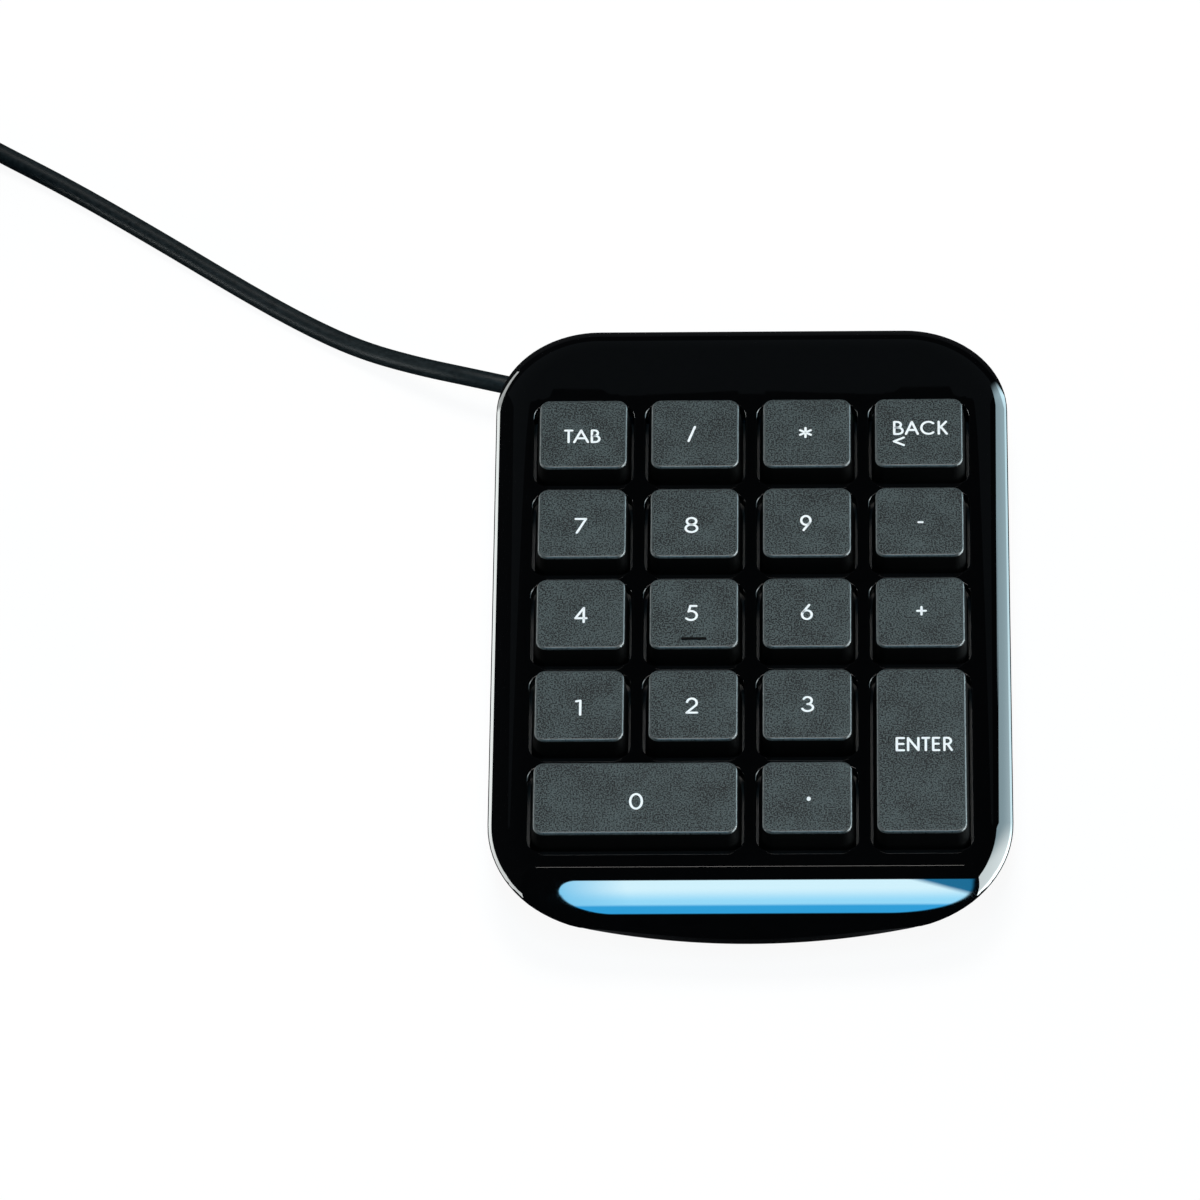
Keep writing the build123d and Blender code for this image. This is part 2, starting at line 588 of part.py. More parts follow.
with BuildPart() as guide_plate:
    with BuildSketch(Plane.XY.offset(WEB_BOTTOM)):
        web_front = FIRST_ROW_Y - WEB_FRONT_MARGIN
        web_back = LAST_ROW_Y + WEB_BACK_MARGIN
        add(bounded_outline(WEB_INSET, WEB_HALF_WIDTH, web_front, web_back))
    extrude(amount=WEB_THICKNESS)
    # skirt that presses the edge of the dome sheet down
    with BuildSketch(Plane.XY.offset(DOME_BASE_TOP)):
        add(bounded_outline(MODULE_INSET, MODULE_HALF_WIDTH, MODULE_FRONT_Y, MODULE_BACK_Y))
        add(
            bounded_outline(
                MODULE_INSET + GUIDE_SKIRT,
                MODULE_HALF_WIDTH - GUIDE_SKIRT,
                MODULE_FRONT_Y + GUIDE_SKIRT,
                MODULE_BACK_Y - GUIDE_SKIRT,
            ),
            mode=Mode.SUBTRACT,
        )
    extrude(amount=WEB_BOTTOM - DOME_BASE_TOP)
    # stakes that hold the stack together
    with BuildSketch(Plane.XY.offset(FLOOR_TOP)):
        with Locations(*STAKES):
            Circle(STAKE_RADIUS)
    extrude(amount=WEB_BOTTOM - FLOOR_TOP)
    # chimneys
    with BuildSketch(Plane.XY.offset(WEB_TOP)):
        with Locations(*KEY_CENTRES):
            add(cut_square(PLUNGER_SIZE + 2 * (PLUNGER_CLEARANCE + CHIMNEY_WALL), CHIMNEY_CORNER))
    extrude(amount=CHIMNEY_HEIGHT)
    # holders for the wires
    for centre, turned, half_span in LONG_KEYS:
        with BuildSketch(Plane.XY.offset(WEB_TOP)):
            for side in (-1, 1):
                along_bar = side * (half_span - HOLDER_INSET)
                with Locations(wire_spot(centre, turned, along_bar, WIRE_BAR_OFFSET)):
                    along, across = HOLDER_WIDTH, WIRE_DIAMETER + HOLDER_WALLS
                    Rectangle(across if turned else along, along if turned else across)
        extrude(amount=WIRE_DIAMETER + WIRE_CLEARANCE + HOLDER_WALLS)
    with BuildSketch(Plane.XY.offset(WEB_BOTTOM)):
        with Locations(*KEY_CENTRES):
            add(cut_square(PLUNGER_SIZE + 2 * PLUNGER_CLEARANCE, PLUNGER_CORNER))
    extrude(amount=CHIMNEY_TOP - WEB_BOTTOM, mode=Mode.SUBTRACT)
    for centre, turned, half_span in LONG_KEYS:
        x, y = wire_spot(centre, turned, -half_span, WIRE_BAR_OFFSET)
        bar = Plane((x, y, WIRE_BAR_Z), z_dir=(0, 1, 0) if turned else (1, 0, 0))
        with BuildSketch(bar):
            Circle(WIRE_RADIUS + WIRE_CLEARANCE)
        extrude(amount=2 * half_span, mode=Mode.SUBTRACT)
save(guide_plate, "key_guide_plate")

# ---------------------------------------------------------------- stabiliser wires


def make_wire(centre, turned, half_span):
    """A U of spring wire: its long bar turns in the guide plate, its tips carry the key."""
    tip_across = WIRE_BAR_OFFSET - WIRE_REACH_REST

    def spot(along, across, z):
        x, y = wire_spot(centre, turned, along, across)
        return Vector(x, y, z)

    with BuildPart() as wire:
        with BuildLine() as path:
            FilletPolyline(
                spot(WIRE_TIP - half_span, tip_across, WIRE_TIP_Z),
                spot(-half_span, tip_across, WIRE_TIP_Z),
                spot(-half_span, WIRE_BAR_OFFSET, WIRE_BAR_Z),
                spot(half_span, WIRE_BAR_OFFSET, WIRE_BAR_Z),
                spot(half_span, tip_across, WIRE_TIP_Z),
                spot(half_span - WIRE_TIP, tip_across, WIRE_TIP_Z),
                radius=WIRE_BEND,
            )
        bends = path.wire()
        with BuildSketch(Plane(bends @ 0, z_dir=bends % 0)):
            Circle(WIRE_RADIUS)
        sweep(path=bends)
    return wire


save(make_wire(*LONG_KEYS[0]), "stabiliser_wire_zero")
save(make_wire(*LONG_KEYS[1]), "stabiliser_wire_enter")
WIRE_SWING = degrees(
    asin(WIRE_REST_RISE / WIRE_ARM) - asin((WIRE_REST_RISE - KEY_TRAVEL) / WIRE_ARM)
)
print(f"stabiliser swing {WIRE_SWING:.3f} deg, {radians(WIRE_SWING) / KEY_TRAVEL * 1000:.2f} rad/m")

# ---------------------------------------------------------------- key caps


def make_keycap(column, row, wide, deep, homing):
    """A hollow cap with drafted sides, a hooked square plunger and cross ribs."""
    x, y = key_centre(column, row, wide, deep)
    top_width = KEY_TOP_WIDTH + (wide - 1) * COLUMN_PITCH
    top_depth = KEY_TOP_DEPTH + (deep - 1) * ROW_PITCH
    foot_width = top_width + 2 * KEY_FLARE
    foot_depth = top_depth + 2 * KEY_FLARE
    with BuildPart() as cap:
        with BuildSketch(Plane.XY.offset(KEY_SKIRT_BOTTOM)):
            with Locations((x, y)):
                RectangleRounded(foot_width, foot_depth, KEY_TOP_CORNER + KEY_FLARE)
        extrude(amount=KEY_HEIGHT, taper=KEY_DRAFT)
        chamfer(cap.faces().sort_by(Axis.Z)[-1].edges(), KEY_EDGE)
        with BuildSketch(Plane.XY.offset(KEY_SKIRT_BOTTOM)):
            with Locations((x, y)):
                Rectangle(foot_width - 2 * KEY_WALL, foot_depth - 2 * KEY_WALL)
        extrude(amount=KEY_CEILING - KEY_SKIRT_BOTTOM, taper=KEY_DRAFT, mode=Mode.SUBTRACT)
        # cross ribs under the roof
        with BuildSketch(Plane.XY.offset(CAP_RIB_BOTTOM)):
            with Locations((x, y)):
                Rectangle(top_width - KEY_WALL, CAP_RIB)
                Rectangle(CAP_RIB, top_depth - KEY_WALL)
        extrude(amount=CAP_RIB_DEPTH)
        # plunger and the two hooks that stop it at the guide plate
        with BuildSketch(Plane.XY.offset(PLUNGER_BOTTOM)):
            with Locations((x, y)):
                add(cut_square(PLUNGER_SIZE, PLUNGER_CORNER))
        extrude(amount=KEY_CEILING - PLUNGER_BOTTOM)
        with BuildSketch(Plane.XY.offset(PLUNGER_BOTTOM)):
            with Locations((x, y)):
                Rectangle(PLUNGER_SIZE + 2 * HOOK_REACH, HOOK_WIDTH)
        extrude(amount=HOOK_HEIGHT)
        if wide + deep > 2:
            _, turned, half_span = LONG_KEYS[deep > wide]
            slot_low = WIRE_TIP_Z - EAR_SLOT_HEIGHT / 2
            ear_low = slot_low - EAR_LIP
            for side in (-1, 1):
                along_bar = side * (half_span - EAR_INSET)
                ear = wire_spot((x, y), turned, along_bar, (EAR_FRONT + EAR_BACK) / 2)
                slot_length = EAR_BACK - EAR_FRONT - 2 * EAR_THICKNESS
                with Locations((*ear, ear_low)):
                    across, along = EAR_BACK - EAR_FRONT, EAR_THICKNESS
                    Box(
                        across if turned else along,
                        along if turned else across,
                        KEY_CEILING - ear_low,
                        align=(Align.CENTER, Align.CENTER, Align.MIN),
                    )
                with Locations((*ear, slot_low)):
                    Box(
                        slot_length if turned else 2 * along,
                        2 * along if turned else slot_length,
                        EAR_SLOT_HEIGHT,
                        align=(Align.CENTER, Align.CENTER, Align.MIN),
                        mode=Mode.SUBTRACT,
                    )
        if homing:
            with BuildSketch(Plane.XY.offset(KEY_TOP)):
                with Locations((x, y - HOMING_OFFSET)):
                    SlotOverall(HOMING_LENGTH, HOMING_WIDTH)
            extrude(amount=HOMING_RISE)
    return cap


for name, *cell in KEYS:
    save(make_keycap(*cell, homing=name == "5"), f"keycap_{name}")

# ---------------------------------------------------------------- controller board

with BuildPart() as controller_board:
    with BuildSketch(Plane.XY.offset(BOARD_BOTTOM)):
        with Locations((0, BOARD_MIDDLE_Y)):
            Rectangle(2 * BOARD_HALF_WIDTH, BOARD_BACK_Y - BOARD_FRONT_Y)
        with Locations(*BOARD_SCREWS):
            Circle(BOARD_SCREW_RADIUS + BORE_CLEARANCE, mode=Mode.SUBTRACT)
    extrude(amount=BOARD_THICKNESS)
save(controller_board, "controller_board")

with BuildPart() as board_screws:
    with BuildSketch(Plane.XY.offset(BOARD_TOP - BOARD_SCREW_LENGTH)):
        with Locations(*BOARD_SCREWS):
            Circle(BOARD_SCREW_RADIUS)
    extrude(amount=BOARD_SCREW_LENGTH)
    with BuildSketch(Plane.XY.offset(BOARD_TOP)):
        with Locations(*BOARD_SCREWS):
            Circle(BOARD_SCREW_HEAD)
    extrude(amount=BOARD_SCREW_HEAD_HEIGHT)
save(board_screws, "board_screws")

# Rubber strip that presses the film's tail against the board
with BuildPart() as pressure_strip:
    with BuildSketch(Plane.XY.offset(FLOOR_TOP)):
        with Locations((0, (BOARD_FRONT_Y + BOARD_BACK_Y - SHELL_WALL) / 2)):
            Rectangle(2 * TAIL_HALF_WIDTH, BOARD_BACK_Y - SHELL_WALL - BOARD_FRONT_Y)
    extrude(amount=BACKPLATE_THICKNESS)
save(pressure_strip, "pressure_strip")

with BuildPart() as controller_chip:
    with Locations((CHIP_X, BOARD_MIDDLE_Y, BOARD_TOP)):
        Box(CHIP_WIDTH, CHIP_DEPTH, CHIP_HEIGHT, align=(Align.CENTER, Align.CENTER, Align.MIN))
    chamfer(controller_chip.edges().group_by(Axis.Z)[-1], CHIP_EDGE)
save(controller_chip, "controller_chip")

with BuildPart() as resonator:
    with BuildSketch(Plane.XY.offset(BOARD_TOP)):
        with Locations((RESONATOR_X, BOARD_MIDDLE_Y)):
            SlotOverall(RESONATOR_LENGTH, 2 * RESONATOR_RADIUS, rotation=90)
    extrude(amount=RESONATOR_HEIGHT)
save(resonator, "resonator")

with BuildPart() as cable_connector:
    with Locations((CONNECTOR_X + CONNECTOR_WIDTH / 2, LEAD_Y, BOARD_TOP)):
        Box(
            CONNECTOR_WIDTH,
            CONNECTOR_DEPTH,
            CORD_EXIT_HEIGHT + CORD_RADIUS + CONNECTOR_ROOF - BOARD_TOP,
            align=(Align.CENTER, Align.CENTER, Align.MIN),
        )
save(cable_connector, "cable_connector")

# ---------------------------------------------------------------- cord


def tube(points, radii, radius):
    """A round tube along straight runs joined by tangent arcs."""
    with BuildPart() as body:
        with BuildLine() as path:
            FilletPolyline(*points, radius=radii)
        route = path.wire()
        with BuildSketch(Plane(route @ 0, z_dir=route % 0)):
            Circle(radius)
        sweep(path=route)
    length = route.length
    expected = pi * radius**2 * length
    print(f"tube length {length:.1f}, volume {body.part.volume:.1f} against {expected:.1f}")
    return body


def route_radii(points):
    """The largest arc that each corner of a route allows."""
    radii = []
    for before, corner, after in zip(points, points[1:], points[2:]):
        run_in, run_out = corner - before, after - corner
        half_turn = radians(run_in.get_angle(run_out)) / 2
        radii.append(0.45 * min(run_in.length, run_out.length) / tan(half_turn))
    print("radii", [round(value, 1) for value in radii])
    return radii


# Grommet: a flanged bush, trimmed to follow the corner that it fills
with BuildPart() as cable_grommet:
    across_exit = (-EXIT_DIRECTION.Y, EXIT_DIRECTION.X, 0)
    with BuildSketch(Plane(GROMMET_START, x_dir=EXIT_DIRECTION, z_dir=across_exit)):
        outer = GROMMET_LENGTH + GROMMET_OVERRUN
        bore = CORD_RADIUS + BORE_CLEARANCE
        with BuildLine():
            Polyline(
                (0, bore),
                (0, GROMMET_FLANGE),
                (GROMMET_STEP, GROMMET_FLANGE),
                (GROMMET_STEP, GROMMET_NECK),
                (outer, GROMMET_NECK),
                (outer, bore),
                close=True,
            )
        make_face()
    revolve(axis=Axis(GROMMET_START, EXIT_DIRECTION))
    with BuildSketch():
        add(outline(GROMMET_RECESS))
    extrude(amount=DECK_HEIGHT, mode=Mode.INTERSECT)
save(cable_grommet, "cable_grommet")

# The lead slants round the screw post, then runs straight into the connector
lead_turn = CORD_EXIT - EXIT_DIRECTION * LEAD_RUN
lead_corner_x = lead_turn.X + (lead_turn.Y - LEAD_Y) / tan(radians(LEAD_SLANT))
inner_lead = tube(
    [
        Vector(CONNECTOR_X, LEAD_Y, CORD_EXIT_HEIGHT),
        Vector(lead_corner_x, LEAD_Y, CORD_EXIT_HEIGHT),
        lead_turn,
        CORD_EXIT,
    ],
    LEAD_BEND,
    CORD_RADIUS,
)
save(inner_lead, "inner_lead")

# Coil: half turns that end on one line through its middle, spiralling in and out by turns
turn = radians(COIL_TURN_ANGLE)
coil_along = Vector(cos(turn), sin(turn), 0)
coil_across = Vector(-sin(turn), cos(turn), 0)
coil_middle = Vector(*COIL_CENTRE, COIL_LIFT)


def coil_stops():
    """Distance from the middle and layer at the end of each half turn."""
    stops = []
    for layer in range(COIL_LAYERS):
        inward = layer % 2 == 0
        for step in range(COIL_HALF_TURNS + 1):
            drawn_in = step if inward else COIL_HALF_TURNS - step
            radius = COIL_OUTER_RADIUS - drawn_in * COIL_PITCH / 2
            reversal = step == COIL_HALF_TURNS and layer < COIL_LAYERS - 1 or step == 0 and layer > 0
            if reversal:
                radius += -COIL_SHIFT if drawn_in else COIL_SHIFT
            stops.append((radius, layer))
    return stops


def coil_point(radius, layer, side):
    return coil_middle + coil_along * (radius * side) + Vector(0, 0, layer * COIL_PITCH)


def half_turn_middle(start, end, side):
    """The crown of the half circle from one stop to the next."""
    return (start + end) * 0.5 + coil_across * ((end - start).length / 2 * side)


coil_path_points = []
side = 1
for radius, layer in coil_stops():
    coil_path_points.append(coil_point(radius, layer, side))
    side = -side
COIL_ENTRY_DIRECTION = coil_across
COIL_EXIT_DIRECTION = coil_across * (1 if len(coil_path_points) % 2 else -1)

with BuildPart() as cable_coil:
    with BuildLine() as winding:
        Line(coil_path_points[0] - COIL_ENTRY_DIRECTION * CORD_DIAMETER, coil_path_points[0])
        side = 1
        for start, end in zip(coil_path_points, coil_path_points[1:]):
            ThreePointArc(start, half_turn_middle(start, end, side), end)
            side = -side
        Line(coil_path_points[-1], coil_path_points[-1] + COIL_EXIT_DIRECTION * CORD_DIAMETER)
    turns = winding.wire()
    with BuildSketch(Plane(turns @ 0, z_dir=turns % 0)):
        Circle(CORD_RADIUS)
    sweep(path=turns)
save(cable_coil, "cable_coil")
coil_length = turns.length
print(f"coil length {coil_length:.1f}, volume {cable_coil.part.volume:.1f}", end=" ")
print(f"against {pi * CORD_RADIUS**2 * coil_length:.1f}")


def least_self_gap(wire, diameter, samples=1400):
    """The least clear distance between turns, measured on points of the centre line."""
    spacing = wire.length / samples
    skip = int(pi * diameter * 1.6 / spacing) + 1
    spots = [wire @ (index / samples) for index in range(samples + 1)]
    least = min(
        (spots[i] - spots[j]).length
        for i in range(0, samples + 1, 2)
        for j in range(i + skip, samples + 1, 2)
    )
    return least - diameter


print(f"least gap in the coil {least_self_gap(turns, CORD_DIAMETER):.2f}")

# Free stretch from the housing to the coil, then from the coil to the plug
coil_start = turns @ 0
coil_end = turns @ 1
cord_route = [
    CORD_EXIT,
    CORD_EXIT + EXIT_DIRECTION * EXIT_RUN,
    Vector(-58.1, 61.6, 4.9),
    Vector(-68.0, 67.2, 2.3),
    Vector(-77.4, 73.1, 1.65),
    Vector(-88.2, 80.6, 1.65),
    Vector(-104.2, 92.6, 1.7),
    Vector(-120.5, 104.3, 1.8),
    coil_start - COIL_ENTRY_DIRECTION * COIL_LEAD_IN,
    coil_start,
]
usb_cable = tube(cord_route, route_radii(cord_route), CORD_RADIUS)
save(usb_cable, "usb_cable")

tail_route = [
    coil_end,
    coil_end + COIL_EXIT_DIRECTION * COIL_LEAD_OUT,
    Vector(-155.2, 72.7, 11.7),
    Vector(-150.4, 60.7, 7.4),
    Vector(PLUG_X, PLUG_Y + PLUG_LEAD_IN, PLUG_HEIGHT),
    Vector(PLUG_X, PLUG_Y, PLUG_HEIGHT),
]
cable_tail = tube(tail_route, route_radii(tail_route), CORD_RADIUS)
save(cable_tail, "cable_tail")

# Tie: a flat band round the bundle
tie_inner = COIL_RADIUS_INSIDE - COIL_SHIFT - CORD_RADIUS - TIE_CLEARANCE
tie_outer = COIL_OUTER_RADIUS + COIL_SHIFT + CORD_RADIUS + LIP_CLEARANCE
tie_height = (COIL_LAYERS - 1) * COIL_PITCH + CORD_DIAMETER + TIE_HEIGHT_ROOM
tie_plane = Plane(
    origin=coil_middle + coil_across * ((tie_inner + tie_outer) / 2)
    + Vector(0, 0, (COIL_LAYERS - 1) * COIL_PITCH / 2),
    x_dir=coil_across,
    z_dir=coil_along,
)
with BuildPart() as cable_tie:
    with BuildSketch(tie_plane):
        RectangleRounded(
            tie_outer - tie_inner + 2 * TIE_THICKNESS, tie_height + 2 * TIE_THICKNESS, TIE_CORNER
        )
        RectangleRounded(
            tie_outer - tie_inner, tie_height, TIE_CORNER - TIE_THICKNESS, mode=Mode.SUBTRACT
        )
    extrude(amount=TIE_WIDTH / 2, both=True)
save(cable_tie, "cable_tie")

# ---------------------------------------------------------------- plug

plug_back = Plane((PLUG_X, PLUG_Y, PLUG_HEIGHT), x_dir=(1, 0, 0), z_dir=(0, -1, 0))
grip_back = plug_back.offset(NECK_LENGTH)
grip_front = grip_back.offset(GRIP_LENGTH)
with BuildPart() as plug_grip:
    with BuildSketch(plug_back):
        Circle(CORD_RADIUS + NECK_START_WALL)
    with BuildSketch(grip_back.offset(NECK_OVERLAP)):
        Circle(CORD_RADIUS + NECK_END_WALL)
    loft(ruled=True)
    with BuildSketch(grip_back):
        RectangleRounded(GRIP_WIDTH, GRIP_DEPTH, GRIP_CORNER)
    extrude(amount=GRIP_LENGTH)
    chamfer(plug_grip.edges().group_by(Axis.Y)[0], GRIP_CHAMFER)
    with BuildSketch(grip_front.offset(-SHELL_SHEET)):
        Rectangle(SHELL_WIDTH, SHELL_DEPTH)
    extrude(amount=SHELL_SHEET, mode=Mode.SUBTRACT)
save(plug_grip, "plug_grip")

with BuildPart() as plug_shell:
    with BuildSketch(grip_front.offset(-SHELL_SHEET)):
        Rectangle(SHELL_WIDTH, SHELL_DEPTH)
        Rectangle(SHELL_WIDTH - 2 * SHELL_SHEET, SHELL_DEPTH - 2 * SHELL_SHEET, mode=Mode.SUBTRACT)
    extrude(amount=SHELL_LENGTH + SHELL_SHEET)
    # the two square windows that a socket's springs drop into
    with BuildSketch(Plane((PLUG_X, grip_front.origin.Y - WINDOW_DISTANCE, PLUG_HEIGHT))):
        with GridLocations(WINDOW_SPACING, 1, 2, 1):
            Rectangle(WINDOW_SIZE, WINDOW_SIZE)
    extrude(amount=SHELL_DEPTH, both=True, mode=Mode.SUBTRACT)
save(plug_shell, "plug_shell")

tongue_top = PLUG_HEIGHT + SHELL_DEPTH / 2 - SHELL_SHEET
with BuildPart() as plug_tongue:
    with BuildSketch(grip_front.offset(-SHELL_SHEET)):
        with Locations((0, tongue_top - TONGUE_DEPTH / 2 - PLUG_HEIGHT)):
            Rectangle(SHELL_WIDTH - 2 * SHELL_SHEET, TONGUE_DEPTH)
    extrude(amount=TONGUE_LENGTH)
save(plug_tongue, "plug_tongue")

with BuildPart() as plug_contacts:
    with BuildSketch(grip_front.offset(CONTACT_DISTANCE)):
        with Locations((0, tongue_top - TONGUE_DEPTH - CONTACT_THICKNESS / 2 - PLUG_HEIGHT)):
            with GridLocations(CONTACT_PITCH, 1, 4, 1):
                Rectangle(CONTACT_WIDTH, CONTACT_THICKNESS)
    extrude(amount=CONTACT_LENGTH)
save(plug_contacts, "plug_contacts")
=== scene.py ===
# %% [markdown]
# # A wired numeric keypad
# A flat black housing carries eighteen matte keys in a glossy deck. Its front slopes
# down to the desk in a rounded chin, and a thin cord leaves its back left corner.
# The solid model already fixes every size, so this lesson only gives the pieces their
# finer edges, their finishes and their light.

# %% Load the solid model
import math

import bmesh
import bpy
from mathutils import Matrix, Vector


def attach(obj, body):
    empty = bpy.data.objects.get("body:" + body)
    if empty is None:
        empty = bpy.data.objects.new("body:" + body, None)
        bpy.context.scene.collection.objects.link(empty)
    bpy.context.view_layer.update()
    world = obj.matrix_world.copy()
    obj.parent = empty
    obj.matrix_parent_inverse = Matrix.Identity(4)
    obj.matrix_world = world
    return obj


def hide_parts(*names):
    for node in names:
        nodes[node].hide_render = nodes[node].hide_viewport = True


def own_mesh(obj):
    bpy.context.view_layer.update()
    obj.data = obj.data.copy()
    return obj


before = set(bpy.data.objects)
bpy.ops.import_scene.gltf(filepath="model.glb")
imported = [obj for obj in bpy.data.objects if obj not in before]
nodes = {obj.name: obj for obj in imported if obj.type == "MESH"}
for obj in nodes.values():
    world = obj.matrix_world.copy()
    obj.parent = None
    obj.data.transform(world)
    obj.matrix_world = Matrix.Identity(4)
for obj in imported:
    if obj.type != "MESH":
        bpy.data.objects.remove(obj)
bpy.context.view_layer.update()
MM = 0.001
print("solid model:", len(nodes), "pieces")


def add_object(name, data):
    added = bpy.data.objects.new(name, data)
    bpy.context.scene.collection.objects.link(added)
    return added


# %% [markdown]
# ## Camera
# The keypad is seen from the front and well above, through a long lens that keeps its
# sides nearly parallel. A long lens far away is set by three things: where it stands,
# how it is turned and its focal length on a 36 mm sensor.

# %% Set the camera
CAMERA_PLACE = Vector((20.694, -1042.911, 1423.055)) * MM
CAMERA_TURN = (36.6221, 1.4017, 0.6377)
LENS_LENGTH = 312.54
SENSOR_WIDTH = 36.0

camera_data = bpy.data.cameras.new("camera")
camera_data.lens = LENS_LENGTH
camera_data.sensor_width = SENSOR_WIDTH
camera_data.sensor_fit = "HORIZONTAL"
camera_data.clip_start = 0.01
camera = add_object("camera", camera_data)
camera.location = CAMERA_PLACE
camera.rotation_euler = [math.radians(angle) for angle in CAMERA_TURN]
bpy.context.scene.camera = camera
print("camera stands", round(CAMERA_PLACE.length, 3), "m from the keypad")

# %% [markdown]
# ## Node helper
# A material is a small graph. Writing each link by hand hides what the graph does, so
# one helper makes a node, fills its sockets and plugs in whatever feeds them.

# %% Make one node of a material


def add_node(tree, kind, settings=None, **sockets):
    """A new node; a socket takes a value, or another node's output."""
    node = tree.nodes.new(kind)
    for name, value in (settings or {}).items():
        setattr(node, name, value)
    for name, value in sockets.items():
        socket = node.inputs[int(name[1:])] if name[1:].isdigit() else node.inputs[name.replace("_", " ")]
        if isinstance(value, bpy.types.NodeSocket):
            tree.links.new(value, socket)
        else:
            socket.default_value = value
    return node


def empty_tree(owner):
    """The node tree of a material, lamp or world, with nothing in it."""
    owner.use_nodes = True
    owner.node_tree.nodes.clear()
    return owner.node_tree


def add_math(tree, operation, first, second=0.0):
    return add_node(tree, "ShaderNodeMath", {"operation": operation}, _0=first, _1=second).outputs[0]


def mix_colours(tree, share, first, second, blend="MIX"):
    settings = {"data_type": "RGBA", "blend_type": blend}
    return add_node(tree, "ShaderNodeMix", settings, _0=share, _6=first, _7=second).outputs[2]


def mix_shaders(tree, share, first, second):
    return add_node(tree, "ShaderNodeMixShader", _0=share, _1=first.outputs[0], _2=second.outputs[0])


def stretch(tree, value, start, end, low=0.0, high=1.0, curve="LINEAR"):
    """Runs from `low` to `high` as the value goes from `start` to `end`."""
    ends = {"From_Min": start, "From_Max": end, "To_Min": low, "To_Max": high}
    return add_node(tree, "ShaderNodeMapRange", {"interpolation_type": curve}, Value=value, **ends).outputs[0]


# %% [markdown]
# ## Floor and surroundings
# The keypad lies on a white table in front of white paper. White that only the camera
# sees costs no contrast: the floor keeps its shadow, and the glossy deck keeps mirroring
# a dim room, which is what makes piano black look black. The table itself is mirrored
# grey, and it lifts the lower edge of the rounded sides.

# %% Lay the floor
FLOOR_HALF_WIDTH = 3.0
FLOOR_WHITE = (0.86, 0.86, 0.86, 1.0)
FLOOR_GLOW_SHARE = 0.90
FLOOR_GLOW = 1.03
FLOOR_MIRRORED = (0.03, 0.032, 0.035, 1.0)


def make_floor():
    form = bmesh.new()
    bmesh.ops.create_grid(form, x_segments=1, y_segments=1, size=FLOOR_HALF_WIDTH)
    mesh = bpy.data.meshes.new("floor")
    form.to_mesh(mesh)
    form.free()
    floor = add_object("floor", mesh)
    white = bpy.data.materials.new("white table")
    tree = empty_tree(white)
    rays = add_node(tree, "ShaderNodeLightPath")
    table = add_node(tree, "ShaderNodeBsdfDiffuse", Color=FLOOR_WHITE)
    glow = add_node(tree, "ShaderNodeEmission", Color=(1.0, 1.0, 1.0, 1.0), Strength=FLOOR_GLOW)
    dim = add_node(tree, "ShaderNodeEmission", Color=FLOOR_MIRRORED)
    share = add_math(tree, "MULTIPLY", rays.outputs["Is Camera Ray"], FLOOR_GLOW_SHARE)
    seen = mix_shaders(tree, share, table, glow)
    mirrored = mix_shaders(tree, rays.outputs["Is Glossy Ray"], seen, dim)
    add_node(tree, "ShaderNodeOutputMaterial", Surface=mirrored.outputs[0])
    mesh.materials.append(white)


make_floor()

# %% Set the room around it
ROOM_LEVEL = 0.14
ROOM_MIRRORED = (0.004, 0.0045, 0.006, 1.0)


def make_room():
    """White to the camera, plain grey light on matte surfaces, dim in mirrors."""
    world = bpy.data.worlds.new("room")
    tree = empty_tree(world)
    rays = add_node(tree, "ShaderNodeLightPath")
    fill = add_node(tree, "ShaderNodeBackground", Color=(1.0, 1.0, 1.0, 1.0), Strength=ROOM_LEVEL)
    dim = add_node(tree, "ShaderNodeBackground", Color=ROOM_MIRRORED)
    white = add_node(tree, "ShaderNodeBackground", Color=(1.0, 1.0, 1.0, 1.0))
    matte = mix_shaders(tree, rays.outputs["Is Glossy Ray"], fill, dim)
    seen = mix_shaders(tree, rays.outputs["Is Camera Ray"], matte, white)
    add_node(tree, "ShaderNodeOutputWorld", Surface=seen.outputs[0])
    bpy.context.scene.world = world


make_room()
bpy.context.scene.view_settings.view_transform = "Standard"

# %% [markdown]
# ## Lamps
# On polished plastic a lamp is seen twice: as light on the matte pieces, and as its own
# picture in the mirror. So each panel is placed by where its picture falls. For a flat
# panel, its brightness in a mirror is its power over its area and pi, so the helper
# takes that brightness and works out the power.

# %% Hang a soft panel


def soft_panel(name, place, aim, width, depth, brightness, colour=(1.0, 1.0, 1.0)):
    """An area lamp that faces `aim`; panels straight overhead keep their sides along X and Y."""
    lamp = bpy.data.lights.new(name, "AREA")
    lamp.shape = "RECTANGLE"
    lamp.size = width
    lamp.size_y = depth
    lamp.energy = brightness * math.pi * width * depth
    lamp.color = colour
    light = add_object(name, lamp)
    light.location = place
    facing = Vector(aim) - Vector(place)
    light.rotation_euler = facing.to_track_quat("-Z", "Y").to_euler()
    return light


# %% Hang the panels
# the main light, a little behind the keypad, so that fronts stay dark
soft_panel("main panel", (0.0, 0.34, 1.25), (0.0, 0.34, 0.0), 0.44, 0.56, 12.0, (1.0, 0.97, 0.93))
# a long low strip on the left: the bright line of the left edge and the rims of the keys
left_strip = soft_panel(
    "left strip", (-1.1, 0.70, 0.12), (0.0, 0.70, 0.12), 2.6, 0.22, 14.0, (0.96, 1.0, 0.99)
)
# a dim wall behind: the faint blue veil on the deck behind the top row
soft_panel("back wall", (0.0, 1.5, 1.2), (0.0, 0.0, 1.2), 2.6, 1.38, 0.06, (0.75, 0.9, 1.0))

# %% [markdown]
# ## Chin light
# A long narrow soft box hangs in front. The sloping chin mirrors it as one bright bar
# with a round end, white in its middle and cyan at its edge. A lamp can be painted like
# that: its own nodes read where on the panel a ray starts, from 0 to 1 each way.

